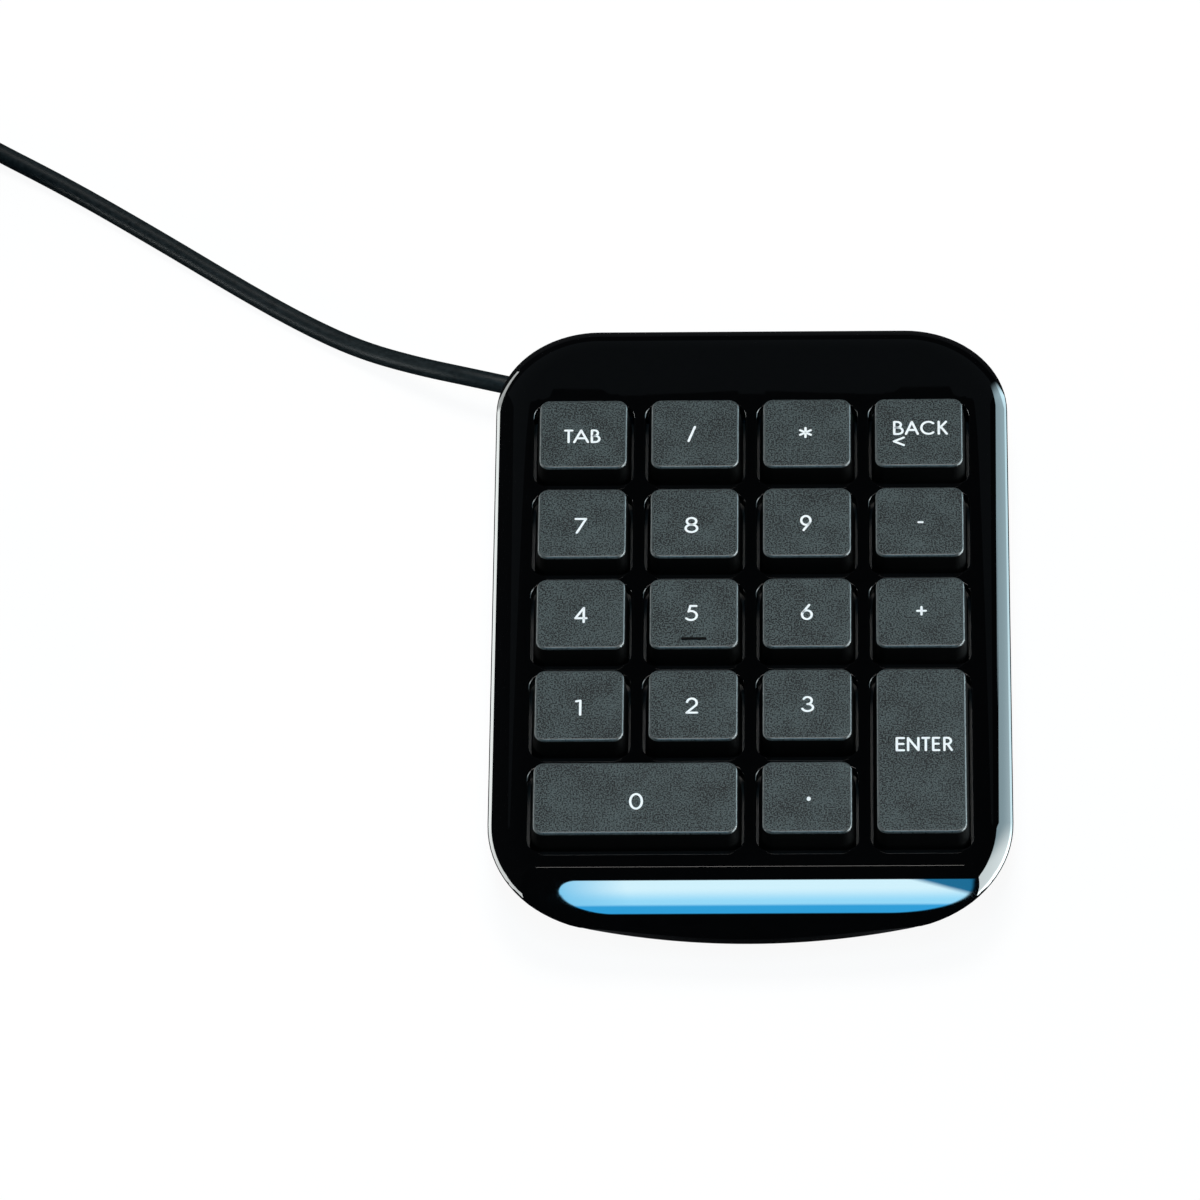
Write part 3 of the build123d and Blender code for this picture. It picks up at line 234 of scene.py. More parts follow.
# %% Paint the soft box
CHIN_LIGHT_PLACE = (-0.0045, -0.427, 0.865)
CHIN_LIGHT_SIZE = (0.109, 0.443)
CHIN_LIGHT_BRIGHTNESS = 28.0
TIP_HEIGHT = 0.62
ROUND_END_ABOVE = 0.05
ROUND_END_BELOW = 0.10
EDGE_SOFTNESS = 0.06
FAR_TIP = 0.96
FAR_TIP_HEIGHT = 0.80
FAR_END = 0.20
WEDGE_START = 0.80
WEDGE_SLOPE = 3.0
WEDGE_SOFTNESS = 0.12
WEDGE_COLOUR = (0.012, 0.15, 0.30, 1.0)
TIP_TINT = (0.20, 0.58, 0.86, 1.0)
TIP_TINT_REACH = 0.16
CYAN = (0.03, 0.35, 0.70, 1.0)
SKY_BLUE = (0.3, 0.7, 0.95, 1.0)
PALE_BLUE = (0.65, 0.9, 1.0, 1.0)
CYAN_TO_SKY = (0.25, 0.35)
SKY_TO_PALE = (0.4, 0.8)


def add_length(tree, first, second):
    """The long side of a right triangle."""
    squares = [add_math(tree, "MULTIPLY", side, side) for side in (first, second)]
    return add_math(tree, "SQRT", add_math(tree, "ADD", *squares))


def shortfall(tree, value, span):
    """How far a value falls short of the span, as a share of it."""
    return add_math(tree, "MAXIMUM", add_math(tree, "SUBTRACT", 1.0, add_math(tree, "DIVIDE", value, span)))


def start_paint(light):
    """An emptied node tree for a lamp, and where on the panel a ray starts."""
    tree = empty_tree(light.data)
    spot = add_node(tree, "ShaderNodeNewGeometry").outputs["Parametric"]
    axes = add_node(tree, "ShaderNodeSeparateXYZ", Vector=spot)
    return tree, axes.outputs[0], axes.outputs[1]


def ease(tree, value, start, end, low=0.0, high=1.0):
    return stretch(tree, value, start, end, low, high, "SMOOTHSTEP")


def shine(tree, strength, **colour):
    glow = add_node(tree, "ShaderNodeEmission", Strength=strength, **colour)
    add_node(tree, "ShaderNodeOutputLight", Surface=glow.outputs[0])


def paint_soft_box(light):
    """Fades the panel out at its rim and tints it from white to cyan."""
    tree, along, across = start_paint(light)
    from_tip = add_math(tree, "SUBTRACT", across, TIP_HEIGHT)
    above = add_math(tree, "DIVIDE", from_tip, 1.0 - TIP_HEIGHT)
    below = add_math(tree, "DIVIDE", from_tip, -TIP_HEIGHT)
    is_above = add_math(tree, "GREATER_THAN", from_tip)
    end = add_node(tree, "ShaderNodeMix", _0=is_above, _2=ROUND_END_BELOW, _3=ROUND_END_ABOVE).outputs[0]
    near_end = add_length(tree, shortfall(tree, along, end), add_math(tree, "MAXIMUM", above, below))
    past_far = shortfall(tree, add_math(tree, "SUBTRACT", FAR_TIP, along), FAR_END)
    far_end = add_length(tree, past_far, shortfall(tree, across, FAR_TIP_HEIGHT))
    lit = ease(tree, add_math(tree, "MAXIMUM", near_end, far_end), 1.0 - EDGE_SOFTNESS, 1.0, 1.0, 0.0)
    body = mix_colours(tree, ease(tree, across, *SKY_TO_PALE), SKY_BLUE, PALE_BLUE)
    tint = mix_colours(tree, ease(tree, across, *CYAN_TO_SKY), CYAN, body)
    shade = mix_colours(tree, stretch(tree, along, TIP_TINT_REACH, 0.0), tint, TIP_TINT, "DARKEN")
    slope = add_math(tree, "MULTIPLY", add_math(tree, "SUBTRACT", along, WEDGE_START), WEDGE_SLOPE)
    in_wedge = stretch(tree, add_math(tree, "ADD", across, slope), 1.0, 1.0 + WEDGE_SOFTNESS)
    shine(tree, lit, Color=mix_colours(tree, in_wedge, shade, WEDGE_COLOUR))


chin_light = soft_panel(
    "chin light",
    CHIN_LIGHT_PLACE,
    (CHIN_LIGHT_PLACE[0], CHIN_LIGHT_PLACE[1], 0.0),
    *CHIN_LIGHT_SIZE,
    CHIN_LIGHT_BRIGHTNESS,
)
paint_soft_box(chin_light)

# %% Paint the wall on the right
# the right shoulder mirrors it as a blue-grey band, which brightens round the front corner;
# the wall is for the mirror only, so it is kept from lighting the matte pieces
WALL_BRIGHTNESS = 6.0
WALL_BLUE = (0.77, 1.08, 1.2, 1.0)
WALL_WHITE = (2.5, 2.8, 2.85, 1.0)
WALL_FOOT = 0.16
WALL_FOOT_GAIN = 1.9
WALL_WHITENS = (0.66, 0.42)
WALL_ENDS = (0.93, 0.77)
WALL_EDGE = 0.02
STRIP_FADE = (0.385, 0.446)
STRIP_DIM = 0.35
# how high the wall reaches, along the part that the straight side mirrors
WAVE_SPAN = (0.6987, 0.7252)
WALL_TOPS = (
    (0.0, 0.80), (0.04, 0.55), (0.12, 0.60), (0.21, 0.50),
    (0.34, 0.60), (0.5, 0.645), (0.8, 0.59), (1.0, 0.52),
)


def paint_wall(light):
    """Blue at its far end, white at its near end, bright at its foot, with a wavy top."""
    light.visible_diffuse = False
    tree, along, up = start_paint(light)
    shade = mix_colours(tree, ease(tree, along, *WALL_WHITENS), WALL_BLUE, WALL_WHITE)
    waves = add_node(tree, "ShaderNodeValToRGB", Fac=stretch(tree, along, *WAVE_SPAN))
    stops = waves.color_ramp.elements
    waves.color_ramp.interpolation = "EASE"
    first, *between, last = WALL_TOPS
    for stop, (_, height) in zip(stops, (first, last)):
        stop.color = (height, height, height, 1.0)
    for position, height in between:
        stops.new(position).color = (height, height, height, 1.0)
    over = add_math(tree, "SUBTRACT", up, waves.outputs[0])
    body = add_math(tree, "MULTIPLY", ease(tree, over, 0.0, -WALL_EDGE), ease(tree, along, *WALL_ENDS))
    foot = ease(tree, up, WALL_FOOT, WALL_FOOT - WALL_EDGE, 1.0, WALL_FOOT_GAIN)
    shine(tree, add_math(tree, "MULTIPLY", body, foot), Color=shade)


def paint_strip(light):
    """Fades towards its far end."""
    tree, along, _ = start_paint(light)
    shine(tree, ease(tree, along, *STRIP_FADE, STRIP_DIM, 1.0))


right_wall = soft_panel("right wall", (1.25, 0.50, 0.82), (0.0, 0.50, 0.82), 3.0, 1.60, WALL_BRIGHTNESS)
paint_wall(right_wall)
paint_strip(left_strip)
print("lamps:", len(bpy.data.lights))

# %% [markdown]
# ## Cord
# The cord is one length of thin round cable. It leaves the corner straight, drops to
# the table and runs off in a loose curve; the rest is wound in a tied coil, as it is
# put away. A NURBS line through a few points bends like real cable, which a chain of
# arcs does not. The coil's turns are more points of the same line.

# %% Lay out the cord's line
CORD_DIAMETER = 3.2 * MM
CORD_EXIT = Vector((-40.2342, 54.7962, 7.4)) * MM
CORD_EXIT_ANGLE = math.radians(15.5)
COIL_CENTRE = Vector((-160.0, 106.0, 2.45)) * MM
COIL_TURN_ANGLE = math.radians(53.13)
COIL_OUTER_RADIUS = 20.65 * MM
COIL_PITCH = 3.65 * MM
COIL_SHIFT = 0.6 * MM
COIL_LAYERS = 4
COIL_HALF_TURNS = 4
POINTS_IN_HALF_TURN = 9

exit_direction = Vector((-math.cos(CORD_EXIT_ANGLE), math.sin(CORD_EXIT_ANGLE), 0))
coil_along = Vector((math.cos(COIL_TURN_ANGLE), math.sin(COIL_TURN_ANGLE), 0))
coil_across = Vector((-math.sin(COIL_TURN_ANGLE), math.cos(COIL_TURN_ANGLE), 0))


def coil_stops():
    """Distance from the middle and layer at the end of each half turn."""
    stops = []
    for layer in range(COIL_LAYERS):
        for step in range(COIL_HALF_TURNS + 1):
            drawn_in = COIL_HALF_TURNS - step if layer % 2 else step
            radius = COIL_OUTER_RADIUS - drawn_in * COIL_PITCH / 2
            climbs = step == COIL_HALF_TURNS and layer < COIL_LAYERS - 1
            if climbs or (step == 0 and layer):
                radius += -COIL_SHIFT if drawn_in else COIL_SHIFT
            stops.append((radius, layer * COIL_PITCH))
    return stops


def coil_points():
    """Control points of the turns, a little outside the turns they draw."""
    points = []
    side = 1
    stops = coil_stops()
    bulge = 1 / math.cos(math.pi / POINTS_IN_HALF_TURN / 2)
    for (r0, z0), (r1, z1) in zip(stops, stops[1:]):
        middle = coil_along * (side * (r0 - r1) / 2)
        reach = (r0 + r1) / 2 * bulge
        for index in range(POINTS_IN_HALF_TURN):
            share = (index + 0.5) / POINTS_IN_HALF_TURN
            angle = math.pi * share
            spot = coil_along * (side * math.cos(angle)) + coil_across * (side * math.sin(angle))
            points.append(COIL_CENTRE + middle + spot * reach + Vector((0, 0, z0 + (z1 - z0) * share)))
        side = -side
    return points


coil_start = COIL_CENTRE + coil_along * COIL_OUTER_RADIUS - coil_across * CORD_DIAMETER
coil_end_radius, coil_end_height = coil_stops()[-1]
coil_end = COIL_CENTRE - coil_along * coil_end_radius + Vector((0, 0, coil_end_height))
coil_end -= coil_across * CORD_DIAMETER
TO_COIL = [
    (-58.1, 61.6, 4.9),
    (-68.0, 67.2, 2.3),
    (-77.4, 73.1, 1.65),
    (-88.2, 80.6, 1.65),
    (-104.2, 92.6, 1.7),
    (-120.5, 104.3, 1.8),
]
TO_PLUG = [(-155.2, 72.7, 11.7), (-150.4, 60.7, 7.4), (-148.7, 48.8, 4.0), (-148.7, 38.8, 4.0)]
cord_points = [CORD_EXIT, CORD_EXIT + exit_direction * 8.0 * MM]
cord_points += [Vector(spot) * MM for spot in TO_COIL]
cord_points += [coil_start - coil_across * 12.0 * MM, coil_start, *coil_points()]
cord_points += [coil_end, coil_end - coil_across * 9.0 * MM]
cord_points += [Vector(spot) * MM for spot in TO_PLUG]
print("cord line:", len(cord_points), "points")

# %% [markdown]
# ## Finishes
# Moulded plastic is never one flat colour. The polished shell has a faint ripple and
# fine wipe marks, the keys a fine sandy grain, the jacket of the cord a satin drag. Each
# finish reads Object coordinates, in metres, so a pattern has its real size everywhere.

# %% Start a finish
NOISE_SPAN = (0.3, 0.7)


def new_finish(name, **settings):
    """A material with one Principled shader, whose uniform values are set directly."""
    finish = bpy.data.materials.new(name)
    tree = empty_tree(finish)
    shader = add_node(tree, "ShaderNodeBsdfPrincipled", **settings)
    add_node(tree, "ShaderNodeOutputMaterial", Surface=shader.outputs[0])
    place = add_node(tree, "ShaderNodeTexCoord").outputs["Object"]
    return finish, tree, shader, place


def add_grain(tree, place, size, detail=2.0, roughness=0.5):
    """A noise whose blots are about `size` metres across."""
    settings = {"Vector": place, "Scale": 1 / size, "Detail": detail, "Roughness": roughness}
    return add_node(tree, "ShaderNodeTexNoise", **settings).outputs["Fac"]


def shift_colour(tree, fac, dark, light):
    """Two shades mixed by a pattern."""
    return mix_colours(tree, fac, (*dark, 1.0), (*light, 1.0))


def spread_value(tree, fac, low, high):
    """A pattern's usual range stretched to run from `low` to `high`."""
    return stretch(tree, fac, *NOISE_SPAN, low, high)


def vary(tree, shader, colour, roughness):
    tree.links.new(colour, shader.inputs["Base Color"])
    tree.links.new(roughness, shader.inputs["Roughness"])


def add_relief(tree, shader, fac, height):
    """Bumps `height` metres high."""
    bump = add_node(tree, "ShaderNodeBump", Height=fac, Distance=height, Strength=1.0)
    tree.links.new(bump.outputs[0], shader.inputs["Normal"])


# %% Mix the polished shell
GLOSS_BLACK = (0.0008, 0.0009, 0.0010)
GLOSS_BLACK_WORN = (0.0016, 0.0017, 0.0019)
RIPPLE_SIZE = 9 * MM
RIPPLE_HEIGHT = 0.0005 * MM
WIPE_MARK_SIZE = 1.6 * MM
GLOSS_ROUGHNESS = (0.004, 0.014)


def make_gloss():
    finish, tree, shader, place = new_finish("polished black", IOR=1.46)
    wiped = add_grain(tree, place, WIPE_MARK_SIZE, 6.0, 0.7)
    shade = shift_colour(tree, wiped, GLOSS_BLACK, GLOSS_BLACK_WORN)
    vary(tree, shader, shade, spread_value(tree, wiped, *GLOSS_ROUGHNESS))
    add_relief(tree, shader, add_grain(tree, place, RIPPLE_SIZE), RIPPLE_HEIGHT)
    return finish


gloss_finish = make_gloss()

# %% Mix the key plastic
KEY_DARK = (0.0, 0.001, 0.002)
KEY_LIGHT = (0.064, 0.086, 0.087)
KEY_SHEEN = 0.2
KEY_GRAIN_SIZE = 0.26 * MM
KEY_GRAIN_HEIGHT = 0.03 * MM
KEY_CLOUD_SIZE = 5 * MM
CLOUD_SHARE = 0.20
SPECK_SPAN = (0.53, 0.67)
KEY_ROUGHNESS = (0.62, 0.42)


def make_key_top():
    """Sandy plastic: dark and light specks, and a faint cloudiness that varies at random."""
    finish, tree, shader, place = new_finish("charcoal keys", Specular_IOR_Level=KEY_SHEEN)
    specks = add_grain(tree, place, KEY_GRAIN_SIZE, 1.0, 0.6)
    clouds = add_grain(tree, place, KEY_CLOUD_SIZE, 2.0, 0.5)
    mixed = add_node(
        tree, "ShaderNodeMath", {"operation": "MULTIPLY_ADD"}, _0=clouds, _1=CLOUD_SHARE, _2=specks
    ).outputs[0]
    even = stretch(tree, mixed, *SPECK_SPAN)
    shade = shift_colour(tree, even, KEY_DARK, KEY_LIGHT)
    vary(tree, shader, shade, spread_value(tree, specks, *KEY_ROUGHNESS))
    add_relief(tree, shader, specks, KEY_GRAIN_HEIGHT)
    return finish


key_finish = make_key_top()

# %% Mix the plain materials
# dark and light shade, grain size and relief in millimetres, roughness from and to, sheen
MATTES = {
    # the edge rounds are painted lighter than the tops: worn, and a painted highlight on the rims
    "worn key edge with painted highlight": ((0.018, 0.024, 0.025), (0.06, 0.072, 0.073), 0.4, 0.01, 0.26, 0.36, 0.35),
    # the sides are the same plastic as the tops, painted near black: painted shade
    "key side with painted shade": ((0.0005,) * 3, (0.001,) * 3, 0.5, 0.004, 0.50, 0.62, 0.05),
    "black hull": ((0.010,) * 3, (0.022,) * 3, 0.5, 0.03, 0.40, 0.55),
    "black guide": ((0.008,) * 3, (0.015,) * 3, 0.8, 0.01, 0.35, 0.5),
    "foot rubber": ((0.018,) * 3, (0.034,) * 3, 0.6, 0.03, 0.75, 0.9),
    "silicone": ((0.55, 0.56, 0.56), (0.63, 0.64, 0.63), 2, 0.01, 0.45, 0.6),
    "polyester film": ((0.62, 0.65, 0.67), (0.70, 0.72, 0.74), 5, 0.003, 0.18, 0.28),
    "green board": ((0.018, 0.13, 0.045), (0.03, 0.19, 0.06), 1.5, 0.01, 0.25, 0.4),
    "moulded epoxy": ((0.014,) * 3, (0.026,) * 3, 0.3, 0.01, 0.55, 0.7),
    "natural nylon": ((0.72, 0.70, 0.64), (0.78, 0.77, 0.72), 3, 0.005, 0.35, 0.5),
    "white ink": ((0.90, 0.91, 0.91), (0.96, 0.96, 0.96), 0.2, 0.004, 0.5, 0.65),
    "satin jacket": ((0.002, 0.0045, 0.0055), (0.006, 0.011, 0.013), 0.7, 0.012, 0.38, 0.5, 0.2),
    "woven band": ((0.010,) * 3, (0.040,) * 3, 0.35, 0.12, 0.85, 0.95),
}


def make_matte(name, dark, light, size, height, rough_low, rough_high, sheen=0.5):
    """A plain material with a fine, even grain."""
    finish, tree, shader, place = new_finish(name, Specular_IOR_Level=sheen)
    grain = add_grain(tree, place, size * MM, 3.0, 0.6)
    shade = shift_colour(tree, spread_value(tree, grain, 0.0, 1.0), dark, light)
    vary(tree, shader, shade, spread_value(tree, grain, rough_low, rough_high))
    add_relief(tree, shader, grain, height * MM)
    return finish


mattes = {name: make_matte(name, *values) for name, values in MATTES.items()}

# %% Mix the metals


def make_metal(name, colour, rough_low, rough_high, size):
    """Plated metal with faint drawing marks."""
    finish, tree, shader, place = new_finish(name, Metallic=1.0)
    marks = add_grain(tree, place, size, 5.0, 0.65)
    dark = tuple(value * 0.86 for value in colour)
    shade = shift_colour(tree, marks, dark, colour)
    vary(tree, shader, shade, spread_value(tree, marks, rough_low, rough_high))
    return finish


steel_finish = make_metal("zinc steel", (0.62, 0.63, 0.64), 0.25, 0.42, 0.5 * MM)
nickel_finish = make_metal("bright nickel", (0.80, 0.80, 0.79), 0.10, 0.24, 0.8 * MM)
gold_finish = make_metal("gold plate", (0.83, 0.62, 0.28), 0.18, 0.28, 0.4 * MM)
print("finishes:", len(bpy.data.materials))

# %% [markdown]
# ## The cord as a curve
# A curve with a round bevel is a cable already, and Blender keeps its line, so its
# length can be measured.


def make_cord():
    line = bpy.data.curves.new("usb_cord", "CURVE")
    line.dimensions = "3D"
    line.bevel_depth = CORD_DIAMETER / 2
    line.bevel_resolution = 4
    line.resolution_u = 6
    line.use_fill_caps = True
    spline = line.splines.new("NURBS")
    spline.points.add(len(cord_points) - 1)
    for point, spot in zip(spline.points, cord_points):
        point.co = (*spot, 1.0)
    spline.order_u = 3
    spline.use_endpoint_u = True
    line.materials.append(mattes["satin jacket"])
    cord = add_object("usb_cord", line)
    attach(cord, "housing")
    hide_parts("usb_cable", "cable_coil", "cable_tail")


make_cord()

# %% [markdown]
# ## Form helpers
# The same steps come back in every closed form: a cut by a plane, a bevel, one form
# joined to another, and a weld that closes seams and turns all faces outwards.

# %% Cut, bevel, join and weld
CLOSE = 0.001 * MM
SEAM = 0.002 * MM


def cut(form, place, outward, dist=CLOSE, geom=None, clear_outer=True):
    """Cuts by a plane, takes off what lies outwards of it, and returns the new edges."""
    geom = geom or form.verts[:] + form.edges[:] + form.faces[:]
    made = bmesh.ops.bisect_plane(
        form, geom=geom, dist=dist, plane_co=place, plane_no=outward, clear_outer=clear_outer
    )
    return [part for part in made["geom_cut"] if isinstance(part, bmesh.types.BMEdge)]


def bevel(form, parts, offset, segments, affect="EDGES"):
    return bmesh.ops.bevel(
        form,
        geom=parts,
        offset=offset,
        offset_type="OFFSET",
        segments=segments,
        profile=0.5,
        affect=affect,
        clamp_overlap=False,
        material=-1,
    )


def join(form, other):
    """Adds the other form to this one."""
    carried = bpy.data.meshes.new("carried")
    other.to_mesh(carried)
    other.free()
    form.from_mesh(carried)
    bpy.data.meshes.remove(carried)


def face_outwards(form):
    bmesh.ops.recalc_face_normals(form, faces=form.faces[:])


def weld(form, dist=SEAM):
    bmesh.ops.remove_doubles(form, verts=form.verts[:], dist=dist)
    face_outwards(form)


def open_edges(form):
    return sum(not edge.is_manifold for edge in form.edges)


# %% [markdown]
# ## Housing outline
# Seen from above, the housing is five arcs and three straight sides: a bowed front, two
# front corners, two back corners. Turning a point about a centre with spin draws an arc,
# and dragging a point draws a side. One half is drawn and mirrored, so both sides match.

# %% Draw the outline
HALF_WIDTH = 43.65 * MM
BACK_Y = 62.25 * MM
FRONT_Y = -62.25 * MM
BOW_RADIUS = 117.0 * MM
FRONT_CORNER = 22.0 * MM
BACK_CORNER = 17.5 * MM
BACK_CORNER_STEPS = 20
FRONT_CORNER_STEPS = 18
BOW_STEPS = 14

bow_centre = FRONT_Y + BOW_RADIUS
corner_x = HALF_WIDTH - FRONT_CORNER
corner_y = bow_centre - math.sqrt((BOW_RADIUS - FRONT_CORNER) ** 2 - corner_x**2)
bow_angle = math.atan2(corner_x, bow_centre - corner_y)
back_x = HALF_WIDTH - BACK_CORNER
back_y = BACK_Y - BACK_CORNER


def drag_point(form, point, place):
    """Pulls a new point out of `point`; the edge between them is a straight side."""
    pulled = bmesh.ops.extrude_vert_indiv(form, verts=[point])["verts"][0]
    pulled.co = place
    return pulled


def turn_point(form, point, centre, angle, steps):
    """Turns a point about an upright axis; its path is an arc."""
    turned = bmesh.ops.spin(
        form, geom=[point], cent=centre, axis=(0, 0, 1), angle=angle, steps=steps, use_duplicate=False
    )
    return turned["geom_last"][0]


def outline_face(form, inset, height):
    """The housing's outline as one face, drawn `inset` inside its widest edge."""
    point = form.verts.new((0, BACK_Y - inset, height))
    point = drag_point(form, point, (back_x, BACK_Y - inset, height))
    point = turn_point(form, point, (back_x, back_y, height), -math.pi / 2, BACK_CORNER_STEPS)
    point = drag_point(form, point, (HALF_WIDTH - inset, corner_y, height))
    sweep = math.pi / 2 - bow_angle
    point = turn_point(form, point, (corner_x, corner_y, height), -sweep, FRONT_CORNER_STEPS)
    turn_point(form, point, (0, bow_centre, height), -bow_angle, BOW_STEPS)
    half = form.verts[:] + form.edges[:]
    bmesh.ops.mirror(form, geom=half, axis="X", merge_dist=0.001 * MM)
    bmesh.ops.remove_doubles(form, verts=form.verts[:], dist=0.001 * MM)
    return bmesh.ops.contextual_create(form, geom=form.edges[:])["faces"][0]


# %% [markdown]
# ## Chin
# The front slopes down in one wide arc, from the deck's edge to the lip. Many planes,
# each turned a little further than the last, shave it off the block, as a plane does in
# wood. Each cut's edge is filled at once, so the block stays closed.

# %% Shave the chin
CHIN_EDGE_Y = -51.85 * MM
DECK_HEIGHT = 15.5 * MM
CHIN_START = math.radians(17.8)
CHIN_RADIUS = 27.0 * MM
CHIN_CUTS = 30

chin_centre_y = CHIN_EDGE_Y + math.sin(CHIN_START) * CHIN_RADIUS
chin_centre = Vector((0, chin_centre_y, DECK_HEIGHT - math.cos(CHIN_START) * CHIN_RADIUS))
chin_end = math.asin((chin_centre.y - FRONT_Y + MM) / CHIN_RADIUS)


def shave_chin(form, inset):
    """Cuts the block to the chin's arc, moved inwards by `inset`."""
    step = (chin_end - CHIN_START) / CHIN_CUTS
    for index in range(CHIN_CUTS):
        tilt = CHIN_START + (index + 0.5) * step
        outward = Vector((0, -math.sin(tilt), math.cos(tilt)))
        touch = chin_centre + outward * (CHIN_RADIUS * math.cos(step / 2) - inset)
        rim = cut(form, touch, outward, CLOSE / 2)
        if rim:
            bmesh.ops.contextual_create(form, geom=rim)


# %% Draw the shoulder's section
# a wide arc rolls off the deck, and a tight one turns down into the side
PARTING_HEIGHT = 8.0 * MM
SHELL_WALL = 2.0 * MM
OUTER_SHOULDER = (8.5 * MM, 0.6 * MM)
INNER_SHOULDER = (2.0 * MM, 2.0 * MM)
SHOULDER_TURN = math.radians(42)
WIDE_STEPS = 10
TIGHT_STEPS = 6
LEAN_FROM = -30.0 * MM
LEAN_SLOPE = 0.744


def shoulder_section(wide, tight):
    """Pairs of (distance from the side, drop from the deck), from the side up to the deck."""
    reach = (wide - tight) * math.sin(SHOULDER_TURN) + tight
    arcs = [(tight, math.pi / 2, SHOULDER_TURN, TIGHT_STEPS), (wide, SHOULDER_TURN, 0.0, WIDE_STEPS)]
    section = []
    for radius, start, end, steps in arcs:
        base_x = tight if radius is tight else reach
        base_drop = wide - (wide - tight) * math.cos(SHOULDER_TURN) if radius is tight else wide
        for step in range(steps + 1):
            if section and not step:
                continue
            tilt = start + (end - start) * step / steps
            section.append((base_x - radius * math.sin(tilt), base_drop - radius * math.cos(tilt)))
    return section


# %% Block out a closed form of the top


def lay_rim(form, inset, height):
    """Adds the outline to a form that has other rims already; returns its edges."""
    drawn = bmesh.new()
    face = outline_face(drawn, inset, height)
    bmesh.ops.delete(drawn, geom=[face], context="FACES_ONLY")
    known = set(form.edges)
    join(form, drawn)
    return [edge for edge in form.edges if edge not in known]


def lean_front(form):
    """Leans the front forwards above the parting line, so that its wall is undercut."""
    for point in form.verts:
        if point.co.y < LEAN_FROM:
            ahead = point.co.y - (point.co.z - PARTING_HEIGHT) * LEAN_SLOPE
            point.co.y = max(ahead, FRONT_Y)


def cover_block(inset, shoulder):
    """The cover's outside, or with an inset the hollow inside it: round-shouldered and shaved."""
    form = bmesh.new()
    rims = [lay_rim(form, inset, PARTING_HEIGHT)]
    for inwards, drop in shoulder_section(*shoulder):
        rims.append(lay_rim(form, inset + inwards, DECK_HEIGHT - inset - drop))
    for near, far in zip(rims, rims[1:]):
        bmesh.ops.bridge_loops(form, edges=near + far)
    bmesh.ops.contextual_create(form, geom=rims[0])
    bmesh.ops.contextual_create(form, geom=rims[-1])
    lean_front(form)
    face_outwards(form)
    shave_chin(form, inset)
    weld(form)
    return form


# %% [markdown]
# ## Rounded frames
# Key openings, caps and recesses all start from a rectangle with rounded corners. It is
# a one-cell grid whose corner points are bevelled; only its rim is kept, so that rims of
# different sizes can be bridged into walls.

# %% Draw a rounded rectangle's rim
CORNER_STEPS = 6


def rounded_rim(form, centre, width, depth, corner, height):
    """Edges of a rounded rectangle; its face goes."""
    grid = bmesh.ops.create_grid(
        form,
        x_segments=1,
        y_segments=1,
        size=0.5,
        matrix=Matrix.Translation((*centre, height)) @ Matrix.Diagonal((width, depth, 1, 1)),
    )
    rounded = bevel(form, grid["verts"], corner, CORNER_STEPS, "VERTICES")
    face = next(part for part in rounded["verts"][0].link_faces)
    rim = face.edges[:]
    bmesh.ops.delete(form, geom=[face], context="FACES_ONLY")
    return rim


# %% Bridge one rim after another
EDGE_STEPS = 3


def soft_edge(radius, steps=EDGE_STEPS):
    """Pairs of (distance outwards, drop) along a quarter round."""
    turns = [math.pi / 2 * step / steps for step in range(steps + 1)]
    return [(radius * (1 - math.sin(turn)), radius * (1 - math.cos(turn))) for turn in turns]


def bridge_rims(form, rims):
    """Walls from each rim to the next, as one list of faces for each."""
    return [bmesh.ops.bridge_loops(form, edges=near + far)["faces"] for near, far in zip(rims, rims[1:])]


# %% [markdown]
# ## Finishing a piece
# A mesh becomes a piece when it has a finish, rides on a body and stands for its solid.
# Shading is smooth except across real edges, and a weighted normal keeps the big flats
# flat, which is what makes a mirror finish believable.

# %% Turn a form into a piece
SHARP_ANGLE = math.radians(32)


def make_piece(name, form, body, finishes, slot, stands_for=(), sharp_angle=SHARP_ANGLE, weighted=True):
    """An object at the origin that carries the form, with its shading and its place."""
    mesh = bpy.data.meshes.new(name)
    form.to_mesh(mesh)
    form.free()
    for finish in finishes:
        mesh.materials.append(finish)
    mesh.shade_smooth()
    mesh.set_sharp_from_angle(angle=sharp_angle)
    piece = add_object(name, mesh)
    if weighted:
        smooth = piece.modifiers.new("weighted normals", "WEIGHTED_NORMAL")
        smooth.keep_sharp = True
    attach(piece, body)
    if stands_for:
        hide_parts(*stands_for)
    return piece


# %% [markdown]
# ## Keys
# Eighteen caps stand on a 19 mm grid; the zero key is two cells wide and the enter key
# two cells deep. One table of cells drives the openings, the caps and the legends.

# %% List the keys
KEY_PITCH = 19.0 * MM
KEY_FIELD_Y = -2.05 * MM
KEYS = {
    "tab": (0, 0, 1, 1),
    "divide": (1, 0, 1, 1),
    "multiply": (2, 0, 1, 1),
    "back": (3, 0, 1, 1),
    "7": (0, 1, 1, 1),
    "8": (1, 1, 1, 1),
    "9": (2, 1, 1, 1),
    "minus": (3, 1, 1, 1),
    "4": (0, 2, 1, 1),
    "5": (1, 2, 1, 1),
    "6": (2, 2, 1, 1),
    "plus": (3, 2, 1, 1),
    "1": (0, 3, 1, 1),
    "2": (1, 3, 1, 1),
    "3": (2, 3, 1, 1),
    "enter": (3, 3, 1, 2),
    "0": (0, 4, 2, 1),
    "point": (2, 4, 1, 1),
}


def key_centre(column, row, wide, deep):
    x = (column + wide / 2 - 2) * KEY_PITCH
    y = KEY_FIELD_Y + (2.5 - row - deep / 2) * KEY_PITCH
    return x, y


# %% [markdown]
# ## Top cover
# The cover is a shell: the block's outside and a smaller block as its hollow. The deck
# is refilled around eighteen openings, each with a small round on its upper edge that
# catches the light. The crease above the chin gets the same small round.

